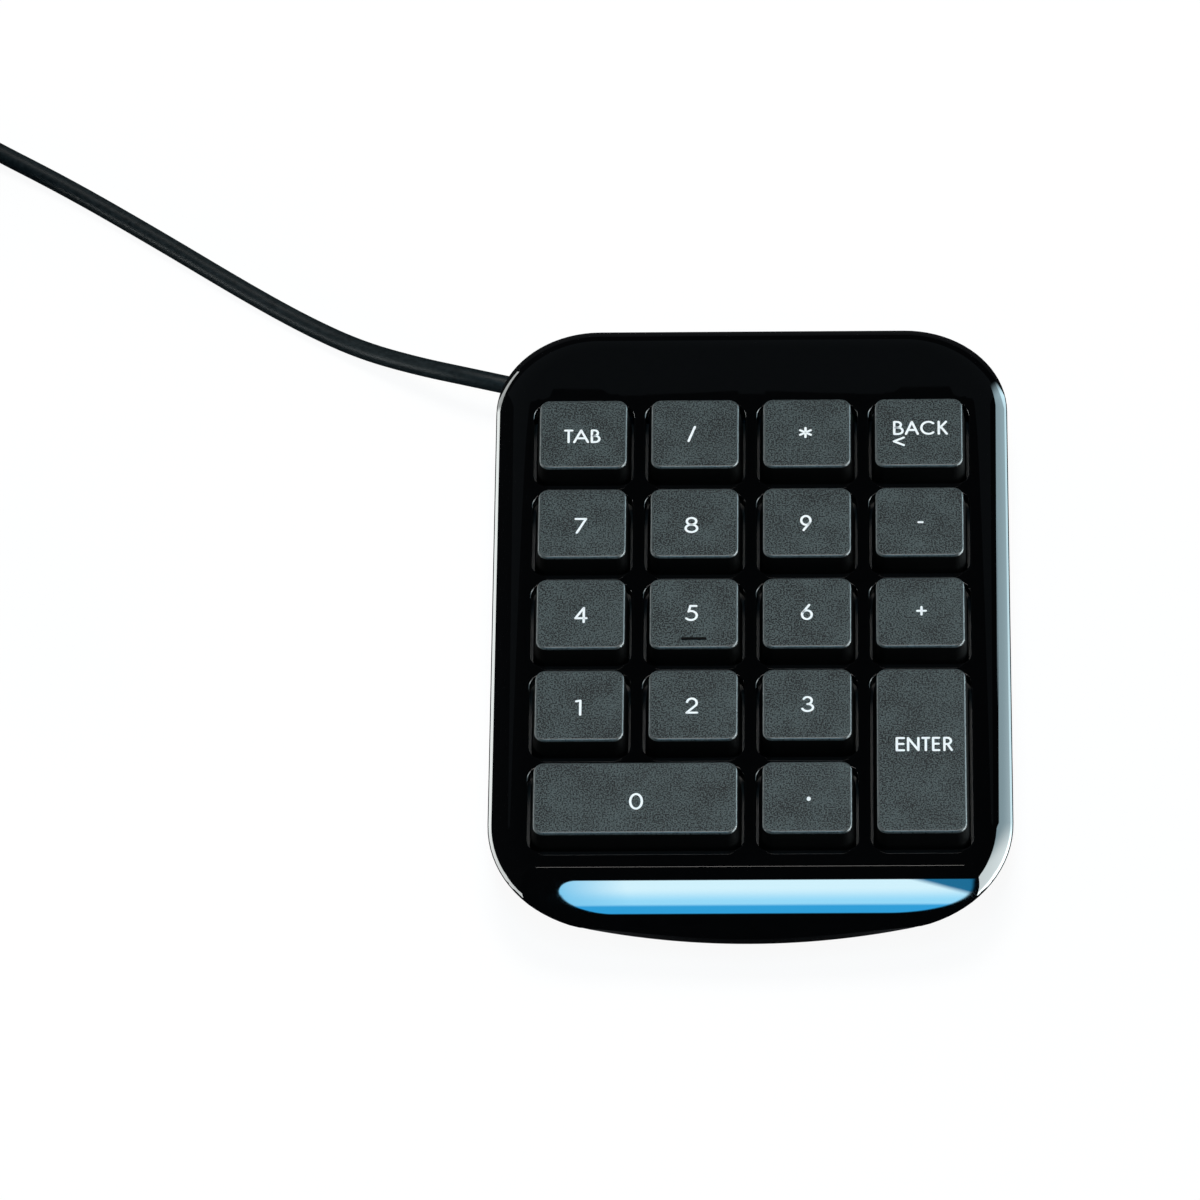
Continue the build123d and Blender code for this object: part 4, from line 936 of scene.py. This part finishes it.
# %% Open the deck
OPENING_BAR = 2.0 * MM
OPENING_CORNER = 2.2 * MM
OPENING_EDGE = 0.2 * MM
OPENING_STEPS = 8
CREASE_EDGE = 0.014 * MM
CREASE_ANGLE = math.radians(13)
CHIN_SPLITS = (16.0, 22.0, 27.0, 31.0, 34.0, 36.5, 38.5, 40.0)


def level_faces(form, height):
    """Faces that lie flat at one height."""
    return [
        face
        for face in form.faces
        if abs(face.normal.z) > 0.9999 and abs(face.calc_center_median().z - height) < 0.001 * MM
    ]


def refill(form, height, rims, upwards):
    """Replaces the flat face at `height` by one with holes at the rims."""
    flat = max(level_faces(form, height), key=lambda face: face.calc_area())
    border = flat.edges[:]
    bmesh.ops.delete(form, geom=[flat], context="FACES_ONLY")
    edges = border + [edge for rim in rims for edge in rim]
    filled = bmesh.ops.triangle_fill(
        form, edges=edges, use_beauty=True, use_dissolve=False, normal=(0, 0, 1 if upwards else -1)
    )
    return filled


def on_crease(place, above, behind):
    """Whether a place is on the crease, give or take so much in height and depth."""
    return abs(place.z - DECK_HEIGHT) < above and abs(place.y - CHIN_EDGE_Y) < behind


def make_top_cover():
    form = cover_block(0.0, OUTER_SHOULDER)
    crease = [
        edge
        for edge in form.edges
        if all(on_crease(point.co, CLOSE, 0.01 * MM) for point in edge.verts)
    ]
    bevel(form, crease, CREASE_EDGE, 2)
    # short faces keep the shading of the chin's ends away from its middle
    for x in CHIN_SPLITS:
        for side in (-1, 1):
            chin = [face for face in form.faces if face.normal.z > 0.3 and face.normal.y < -0.28]
            points = {point for face in chin for point in face.verts}
            edges = {edge for face in chin for edge in face.edges}
            parts = chin + list(edges) + list(points)
            cut(form, (side * x * MM, 0, 0), (1, 0, 0), geom=parts, clear_outer=False)
    hollow = cover_block(SHELL_WALL, INNER_SHOULDER)
    bmesh.ops.reverse_faces(hollow, faces=hollow.faces[:])
    join(form, hollow)
    # the parting face becomes a ring between the two outlines
    floors = sorted(level_faces(form, PARTING_HEIGHT), key=lambda face: -face.calc_area())[:2]
    outer_edges, inner_edges = (face.edges[:] for face in floors)
    bmesh.ops.delete(form, geom=floors, context="FACES_ONLY")
    bmesh.ops.bridge_loops(form, edges=outer_edges + inner_edges)
    # openings
    upper, lower = [], []
    for cell in KEYS.values():
        centre = key_centre(*cell)
        width = cell[2] * KEY_PITCH - OPENING_BAR
        depth = cell[3] * KEY_PITCH - OPENING_BAR
        rims = []
        for outwards, drop in soft_edge(OPENING_EDGE, OPENING_STEPS):
            size = width + 2 * outwards, depth + 2 * outwards
            rims.append(rounded_rim(form, centre, *size, OPENING_CORNER + outwards, DECK_HEIGHT - drop))
        rims.append(rounded_rim(form, centre, width, depth, OPENING_CORNER, DECK_HEIGHT - SHELL_WALL))
        bridge_rims(form, rims)
        upper.append(rims[0])
        lower.append(rims[-1])
    refill(form, DECK_HEIGHT, upper, True)
    refill(form, DECK_HEIGHT - SHELL_WALL, lower, False)
    weld(form)
    print("top cover:", len(form.faces), "faces,", open_edges(form), "open edges")
    place = ("housing", [gloss_finish], "gloss_shell", ["top_cover"])
    mesh = make_piece("deck_cover", form, *place, CREASE_ANGLE).data
    for edge in mesh.edges:
        ends = [mesh.vertices[index].co for index in edge.vertices]
        if all(on_crease(end, 0.02 * MM, 0.05 * MM) for end in ends):
            edge.use_edge_sharp = True


make_top_cover()

# %% [markdown]
# ## Bottom tray
# The tray tucks in towards the desk, so from above the housing seems to float. Its
# underside has four recessed screw holes and four shallow seats for the rubber feet.

# %% Sink round recesses in the underside
STANDOFF = 1.0 * MM
HULL_TUCK = 6.0 * MM
TRAY_WALL = 2.0 * MM
FLOOR_TOP = 2.4 * MM
SCREW_PLACES = [(-19.0, -51.5), (19.0, -51.5), (-21.0, 53.4), (21.0, 53.4)]
FOOT_PLACES = [(-28.0, -42.0), (28.0, -42.0), (-28.0, 42.0), (28.0, 42.0)]
SCREW_RECESS = (2.3 * MM, 1.2 * MM)
FOOT_SEAT = (5.1 * MM, 0.5 * MM)
ROUND_STEPS = 32


def round_rim(form, centre, radius, height):
    """Edges of a circle."""
    ring = bmesh.ops.create_circle(
        form,
        segments=ROUND_STEPS,
        radius=radius,
        matrix=Matrix.Translation((centre[0] * MM, centre[1] * MM, height)),
    )["verts"]
    return list({edge for point in ring for edge in point.link_edges})


def sink(form, centre, radius, depth):
    """A round blind recess up from the underside; returns its mouth."""
    mouth = round_rim(form, centre, radius, STANDOFF)
    end = round_rim(form, centre, radius, STANDOFF + depth)
    bmesh.ops.bridge_loops(form, edges=mouth + end)
    bmesh.ops.contextual_create(form, geom=end)
    return mouth


# %% Build the tray


def hull_block(inset, bottom):
    """The tray's outside, or with an inset its hollow: two outlines bridged by a slope."""
    form = bmesh.new()
    tuck = (PARTING_HEIGHT - bottom) / (PARTING_HEIGHT - STANDOFF) * HULL_TUCK
    low = outline_face(form, inset + tuck, bottom)
    low_rim = low.edges[:]
    upper = bmesh.new()
    outline_face(upper, inset, PARTING_HEIGHT)
    join(form, upper)
    top = max(form.faces, key=lambda face: face.calc_center_median().z)
    top_rim = top.edges[:]
    bmesh.ops.delete(form, geom=[top], context="FACES_ONLY")
    bmesh.ops.bridge_loops(form, edges=low_rim + top_rim)
    return form, low_rim


def make_tray():
    form, low_rim = hull_block(0.0, STANDOFF)
    face_outwards(form)
    mouths = [sink(form, place, *SCREW_RECESS) for place in SCREW_PLACES]
    mouths += [sink(form, place, *FOOT_SEAT) for place in FOOT_PLACES]
    refill(form, STANDOFF, mouths, False)
    hollow, _ = hull_block(TRAY_WALL, FLOOR_TOP)
    join(form, hollow)
    border = [edge for edge in form.edges if edge.is_boundary]
    bmesh.ops.bridge_loops(form, edges=border)
    weld(form)
    print("tray:", len(form.faces), "faces,", open_edges(form), "open edges")
    make_piece("tray", form, "housing", [mattes["black hull"]], "matte_shell", ["bottom_cover"])


make_tray()

# %% [markdown]
# ## Key caps
# A cap is a hollow moulding. Its outer wall runs from a wide foot to a smaller top, with
# a fine round where they meet; inside are a smaller wall, a roof, crossed ribs and the
# square plunger with the two hooks that hold it in the guide.

# %% Size a cap
KEY_GAP_ACROSS = 4.2 * MM
KEY_GAP_ALONG = 4.5 * MM
KEY_TOP = 18.7 * MM
KEY_FOOT = 12.8 * MM
KEY_DRAFT = math.radians(6.5)
KEY_CORNER = 1.7 * MM
KEY_EDGE = 0.38 * MM
KEY_WALL = 1.2 * MM
KEY_ROOF = 1.3 * MM
RIB_WIDTH = 1.0 * MM
RIB_DEPTH = 2.3 * MM
PLUNGER_SIZE = 6.0 * MM
PLUNGER_CORNER = 0.8 * MM
PLUNGER_BOTTOM = 7.2 * MM
HOOK_SPAN = 7.1 * MM
HOOK_WIDTH = 2.0 * MM
HOOK_HEIGHT = 0.8 * MM
CAP_EDGE_STEPS = 4
HOMING_KEY = "5"
HOMING_OFFSET = 5.4 * MM
HOMING_SIZE = (4.3 * MM, 0.4 * MM)
HOMING_RISE = 0.3 * MM
HOMING_EDGE = 0.12 * MM


def cap_top(cell):
    """Width and depth of a cap's top."""
    return cell[2] * KEY_PITCH - KEY_GAP_ACROSS, cell[3] * KEY_PITCH - KEY_GAP_ALONG


def add_block(form, centre, width, depth, low, high, edge=0.0):
    """A closed block, with its edges broken if `edge` is given."""
    made = bmesh.ops.create_cube(
        form,
        size=1.0,
        matrix=Matrix.Translation((*centre, (low + high) / 2))
        @ Matrix.Diagonal((width, depth, high - low, 1)),
    )["verts"]
    if edge:
        edges = list({part for point in made for part in point.link_edges})
        bevel(form, edges, edge, 2)


def make_cap(name):
    cell = KEYS[name]
    centre = key_centre(*cell)
    width, depth = cap_top(cell)
    form = bmesh.new()
    flare = math.tan(KEY_DRAFT)

    def wall_rim(inset, height):
        spread = (KEY_TOP - height) * flare - inset
        corner = max(KEY_CORNER + spread, 0.4 * MM)
        return rounded_rim(form, centre, width + 2 * spread, depth + 2 * spread, corner, height)

    rims = [wall_rim(0.0, KEY_FOOT), wall_rim(0.0, KEY_TOP - KEY_EDGE)]
    for step in range(1, CAP_EDGE_STEPS + 1):
        turn = math.pi / 2 * step / CAP_EDGE_STEPS
        inset = KEY_EDGE * (1 - math.cos(turn))
        rims.append(wall_rim(inset, KEY_TOP - KEY_EDGE * (1 - math.sin(turn))))
    walls = bridge_rims(form, rims)
    roof = bmesh.ops.contextual_create(form, geom=rims[-1])["faces"]
    inner = [wall_rim(KEY_WALL, KEY_FOOT), wall_rim(KEY_WALL, KEY_TOP - KEY_ROOF)]
    bridge_rims(form, inner)
    bmesh.ops.contextual_create(form, geom=inner[-1])
    foot = rims[0] + inner[0]
    bmesh.ops.triangle_fill(form, edges=foot, use_beauty=True, use_dissolve=False, normal=(0, 0, -1))
    face_outwards(form)
    ceiling = KEY_TOP - KEY_ROOF
    rib_low = ceiling - RIB_DEPTH
    add_block(form, centre, width - KEY_WALL, RIB_WIDTH, rib_low, ceiling)
    add_block(form, centre, RIB_WIDTH, depth - KEY_WALL, rib_low, ceiling)
    add_block(form, centre, PLUNGER_SIZE, PLUNGER_SIZE, PLUNGER_BOTTOM, ceiling, PLUNGER_CORNER)
    add_block(form, centre, HOOK_SPAN, HOOK_WIDTH, PLUNGER_BOTTOM, PLUNGER_BOTTOM + HOOK_HEIGHT)
    # the homing bar takes the near-black side finish, so it shows as a dark line: painted shade
    if name == HOMING_KEY:
        x, y = centre
        span = KEY_TOP - HOMING_RISE, KEY_TOP + HOMING_RISE
        add_block(form, (x, y - HOMING_OFFSET), *HOMING_SIZE, *span, HOMING_EDGE)
    # the top is sandy; its edge is worn and painted lighter, a painted highlight; all the rest is smooth and
    # painted near black, a painted shade
    for face in form.faces:
        face.material_index = 2
    for face in [face for wall in walls[1:] for face in wall]:
        face.material_index = 1
    for face in roof:
        face.material_index = 0
    finishes = [key_finish, mattes["worn key edge with painted highlight"], mattes["key side with painted shade"]]
    return make_piece(f"cap_{name}", form, f"key_{name}", finishes, "key_plastic", [f"keycap_{name}"])


# %% Mould the caps
caps = {name: make_cap(name) for name in KEYS}
print("caps:", len(caps))

# %% [markdown]
# ## Domes
# A silicone mat lies on the films. Under each key it has a hollow dome that folds as the
# key goes down, and each dome is a piece of its own.

# %% Lay the mat
MAT_BOTTOM = 3.35 * MM
MAT_THICKNESS = 0.5 * MM
MAT_INSET = 7.6 * MM
MAT_HALF_WIDTH = 35.8 * MM
MAT_FRONT_Y = -47.45 * MM
MAT_BACK_Y = 43.35 * MM
MAT_SIDES = (
    ((MAT_HALF_WIDTH, 0), (1, 0)),
    ((-MAT_HALF_WIDTH, 0), (-1, 0)),
    ((0, MAT_BACK_Y), (0, 1)),
    ((0, MAT_FRONT_Y), (0, -1)),
)
STAKE_PLACES = [(-19.0, 26.45), (19.0, 26.45), (0.0, 7.45), (-19.0, -11.55), (19.0, -11.55), (0.0, -30.55)]
STAKE_HOLE = 1.2 * MM
DOME_HOLE = 4.82 * MM
DOME_SECTION = [(0, 3.75), (2.7, 3.75), (2.7, 3.05), (4.8, 0.5), (4.8, 0), (4.1, 0), (2.0, 2.35), (0, 2.35)]
DOME_STEPS = 32
MAT_PLACE = ("housing", [mattes["silicone"]], "dome_silicone", ["dome_sheet"])


def make_mat():
    form = bmesh.new()
    outline_face(form, MAT_INSET, MAT_BOTTOM)
    for place, outward in MAT_SIDES:
        cut(form, (*place, 0), (*outward, 0))
    raised = bmesh.ops.extrude_face_region(form, geom=form.faces[:])["geom"]
    points = [part for part in raised if isinstance(part, bmesh.types.BMVert)]
    bmesh.ops.translate(form, verts=points, vec=(0, 0, MAT_THICKNESS))
    face_outwards(form)
    holes = [(place, STAKE_HOLE) for place in STAKE_PLACES]
    for cell in KEYS.values():
        x, y = key_centre(*cell)
        holes.append(((x / MM, y / MM), DOME_HOLE))
    lower = [round_rim(form, place, radius, MAT_BOTTOM) for place, radius in holes]
    upper = [round_rim(form, place, radius, MAT_BOTTOM + MAT_THICKNESS) for place, radius in holes]
    for near, far in zip(lower, upper):
        bmesh.ops.bridge_loops(form, edges=near + far)
    refill(form, MAT_BOTTOM, lower, False)
    refill(form, MAT_BOTTOM + MAT_THICKNESS, upper, True)
    weld(form)
    print("mat:", len(form.faces), "faces,", open_edges(form), "open edges")
    make_piece("dome_mat", form, *MAT_PLACE, weighted=False)


# %% Raise the domes


def make_dome(name):
    x, y = key_centre(*KEYS[name])
    form = bmesh.new()
    point = None
    for radius, rise in DOME_SECTION:
        place = (x + radius * MM, y, MAT_BOTTOM + rise * MM)
        point = drag_point(form, point, place) if point else form.verts.new(place)
    bmesh.ops.spin(
        form,
        geom=form.verts[:] + form.edges[:],
        cent=(x, y, 0),
        axis=(0, 0, 1),
        angle=2 * math.pi,
        steps=DOME_STEPS,
        use_merge=True,
        use_duplicate=False,
    )
    weld(form)
    gaps = open_edges(form)
    piece = make_piece(f"dome_{name}", form, *MAT_PLACE, weighted=False)
    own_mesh(piece)
    return gaps


make_mat()
print("domes:", len(KEYS), "with open edges:", sum(make_dome(name) for name in KEYS))

# %% [markdown]
# ## Legends
# The legends are printed: thin even strokes with round ends. A curve with a round bevel
# is such a stroke, and pressed flat it is a film of ink. A figure is drawn in a box of
# one by one from two kinds of stroke, straight runs and turns, and the box is then
# stretched to its size on the key.

# %% Draw the figures


def turn(x, y, wide, high, start, end):
    """Points of a part of an oval, from one angle to another in degrees."""
    steps = max(4, round(abs(end - start) / 15))
    angles = [math.radians(start + (end - start) * step / steps) for step in range(steps + 1)]
    return [(x + wide * math.cos(angle), y + high * math.sin(angle)) for angle in angles]


FIGURES = {
    "0": [turn(0.5, 0.5, 0.5, 0.5, 0, 360)],
    "1": [[(0, 0.95), (1, 1)], [(1, 1), (1, 0)]],
    "2": [turn(0.5, 0.69, 0.47, 0.31, 168, -32) + [(0, 0)], [(0, 0), (1, 0)]],
    "3": [turn(0.46, 0.75, 0.42, 0.25, 155, -90), turn(0.46, 0.25, 0.54, 0.25, 90, -160)],
    "4": [[(0.76, 0), (0.76, 1)], [(0.76, 1), (0, 0.27)], [(0, 0.27), (1, 0.27)]],
    "5": [[(0.93, 1), (0.36, 1)], [(0.36, 1), (0.2, 0.6)], turn(0.42, 0.32, 0.56, 0.32, 114, -142)],
    "6": [turn(0.5, 0.31, 0.5, 0.31, 0, 360), [(0.74, 1), (0.06, 0.46)]],
    "7": [[(0, 1), (1, 1)], [(1, 1), (0.12, 0)]],
    "8": [turn(0.5, 0.765, 0.41, 0.235, 0, 360), turn(0.5, 0.265, 0.5, 0.265, 0, 360)],
    "9": [turn(0.5, 0.69, 0.5, 0.31, 0, 360), [(0.94, 0.54), (0.26, 0)]],
    "+": [[(0, 0.5), (1, 0.5)], [(0.5, 0), (0.5, 1)]],
    "-": [[(0, 0.5), (1, 0.5)]],
    "*": [[(0.5, 0), (0.5, 1)], [(0, 0.25), (1, 0.75)], [(0, 0.75), (1, 0.25)]],
    "/": [[(0, 0), (1, 1)]],
    "<": [[(1, 1), (0, 0.5)], [(0, 0.5), (1, 0)]],
    ".": [turn(0.5, 0.5, 0.5, 0.5, 0, 360), [(0.2, 0.5), (0.8, 0.5)]],
    "A": [[(0, 0), (0.5, 1)], [(0.5, 1), (1, 0)], [(0.2, 0.33), (0.8, 0.33)]],
    "B": [
        [(0, 0), (0, 1)],
        [(0, 1), *turn(0.35, 0.765, 0.45, 0.235, 90, -90), (0, 0.53)],
        [(0, 0.53), *turn(0.45, 0.265, 0.55, 0.265, 90, -90), (0, 0)],
    ],
    "C": [turn(0.6, 0.5, 0.6, 0.5, 48, 312)],
    "E": [[(0, 0), (0, 1)], [(0, 1), (1, 1)], [(0, 0.52), (0.92, 0.52)], [(0, 0), (1, 0)]],
    "K": [[(0, 0), (0, 1)], [(0.92, 1), (0, 0.42)], [(0.26, 0.58), (1, 0)]],
    "N": [[(0, 0), (0, 1)], [(0, 1), (1, 0)], [(1, 0), (1, 1)]],
    "R": [
        [(0, 0), (0, 1)],
        [(0, 1), *turn(0.4, 0.745, 0.5, 0.255, 90, -90), (0, 0.49)],
        [(0.45, 0.49), (1, 0)],
    ],
    "T": [[(0, 1), (1, 1)], [(0.5, 1), (0.5, 0)]],
}

# %% Place the figures
# for each key: boxes as (middle x, middle y, width, height) in millimetres from the
# key's middle, and the one figure in it, or several with their shares of its width
LEGENDS = {
    "tab": [(-0.19, -0.49, 6.24, 2.92, (("T", 0, 0.26), ("A", 0.25, 0.69), ("B", 0.73, 1)))],
    "divide": [(-0.58, -0.14, 1.47, 3.44, "/")],
    "multiply": [(-0.25, 0.03, 2.21, 2.37, "*")],
    "back": [
        (
            0.29, 0.88, 9.32, 3.01,
            (("B", 0, 0.196), ("A", 0.213, 0.472), ("C", 0.494, 0.755), ("K", 0.811, 1)),
        ),
        (-3.4, -1.98, 2.08, 2.03, "<"),
    ],
    "7": [(-0.21, -0.55, 2.14, 3.32, "7")],
    "8": [(-0.51, -0.52, 2.37, 3.4, "8")],
    "9": [(-0.2, -0.24, 1.97, 3.4, "9")],
    "minus": [(0.15, -0.2, 1.08, 0.49, "-")],
    "4": [(0.04, -0.3, 2.26, 3.36, "4")],
    "5": [(-0.35, -0.01, 2.17, 3.36, "5")],
    "6": [(-0.04, 0.06, 2.04, 3.36, "6")],
    "plus": [(0.18, 0.18, 1.83, 2.0, "+")],
    "1": [(-0.18, -0.53, 1.11, 3.33, "1")],
    "2": [(-0.23, -0.22, 2.15, 3.33, "2")],
    "3": [(0.12, -0.03, 2.1, 3.31, "3")],
    "enter": [
        (
            0.44, 1.12, 9.53, 2.93,
            (("E", 0, 0.166), ("N", 0.197, 0.42), ("T", 0.449, 0.606), ("E", 0.634, 0.78), ("R", 0.829, 1)),
        )
    ],
    "0": [(0.14, -0.77, 2.35, 3.39, "0")],
    "point": [(0.24, -0.44, 0.69, 0.9, ".")],
}

# %% Print the legends
INK_STROKE = 0.42 * MM
INK_RISE = 0.012 * MM
ROUND_END_STEPS = ((1.0, 0.05), (0.87, 0.5), (0.5, 0.87))


def add_stroke(line, points):
    """A run of ink; an open one gets round ends, by points that taper."""
    closed = (Vector(points[0]) - Vector(points[-1])).length < 0.001 * MM
    radius = line.bevel_depth
    if closed:
        spots = [(Vector(point), 1.0) for point in points[:-1]]
    else:
        first = (Vector(points[0]) - Vector(points[1])).normalized() * radius
        last = (Vector(points[-1]) - Vector(points[-2])).normalized() * radius
        spots = [(Vector(points[0]) + first * out, size) for out, size in ROUND_END_STEPS]
        spots += [(Vector(point), 1.0) for point in points]
        spots += [(Vector(points[-1]) + last * out, size) for out, size in reversed(ROUND_END_STEPS)]
    spline = line.splines.new("POLY")
    spline.points.add(len(spots) - 1)
    for point, (spot, size) in zip(spline.points, spots):
        point.co = (spot.x, spot.y, 0, 1)
        point.radius = size
    spline.use_cyclic_u = closed


def print_legend(name):
    line = bpy.data.curves.new(f"legend_{name}", "CURVE")
    line.dimensions = "3D"
    line.bevel_depth = INK_STROKE / 2
    line.bevel_resolution = 1
    line.use_fill_caps = True
    for middle_x, middle_y, width, height, figures in LEGENDS[name]:
        high = max(height * MM - INK_STROKE, 0.01 * MM)
        low = middle_y * MM - high / 2
        for figure, start, end in [(figures, 0, 1)] if isinstance(figures, str) else figures:
            left = (middle_x - width / 2 + width * start) * MM + INK_STROKE / 2
            wide = max(width * (end - start) * MM - INK_STROKE, 0.01 * MM)
            for stroke in FIGURES[figure]:
                add_stroke(line, [(left + x * wide, low + y * high) for x, y in stroke])
    drawn = add_object("drawn", line)
    bpy.context.view_layer.update()
    mesh = bpy.data.meshes.new_from_object(drawn)
    bpy.data.objects.remove(drawn)
    bpy.data.curves.remove(line)
    form = bmesh.new()
    form.from_mesh(mesh)
    bpy.data.meshes.remove(mesh)
    weld(form, CLOSE / 2)
    bmesh.ops.scale(form, verts=form.verts[:], vec=(1, 1, INK_RISE / (INK_STROKE / 2)))
    bmesh.ops.translate(form, verts=form.verts[:], vec=(*key_centre(*KEYS[name]), KEY_TOP))
    place = (f"key_{name}", [mattes["white ink"]], "key_plastic")
    return make_piece(f"legend_{name}", form, *place, weighted=False)


legends = {name: print_legend(name) for name in KEYS}
print("legends:", len(legends))

# %% [markdown]
# ## Finishes of the solid pieces
# The pieces inside and the feet, screws, tie and plug keep the solid's own shape. They
# only take a finish.

# %% Finish the solid pieces
NODE_FINISHES = (
    (mattes["foot rubber"], ("rubber_feet", "pressure_strip")),
    (steel_finish, ("case_screws", "board_screws", "backplate")),
    (steel_finish, ("stabiliser_wire_zero", "stabiliser_wire_enter")),
    (mattes["polyester film"], ("membrane_lower", "membrane_spacer", "membrane_upper")),
    (mattes["black guide"], ("key_guide_plate",)),
    (mattes["green board"], ("controller_board",)),
    (mattes["moulded epoxy"], ("controller_chip",)),
    (nickel_finish, ("resonator", "plug_shell")),
    (mattes["natural nylon"], ("cable_connector", "plug_tongue")),
    (mattes["satin jacket"], ("cable_grommet", "inner_lead", "plug_grip")),
    (mattes["woven band"], ("cable_tie",)),
    (gold_finish, ("plug_contacts",)),
)


def finish_nodes():
    for finish, names in NODE_FINISHES:
        for name in names:
            materials = nodes[name].data.materials
            materials.clear()
            materials.append(finish)


finish_nodes()
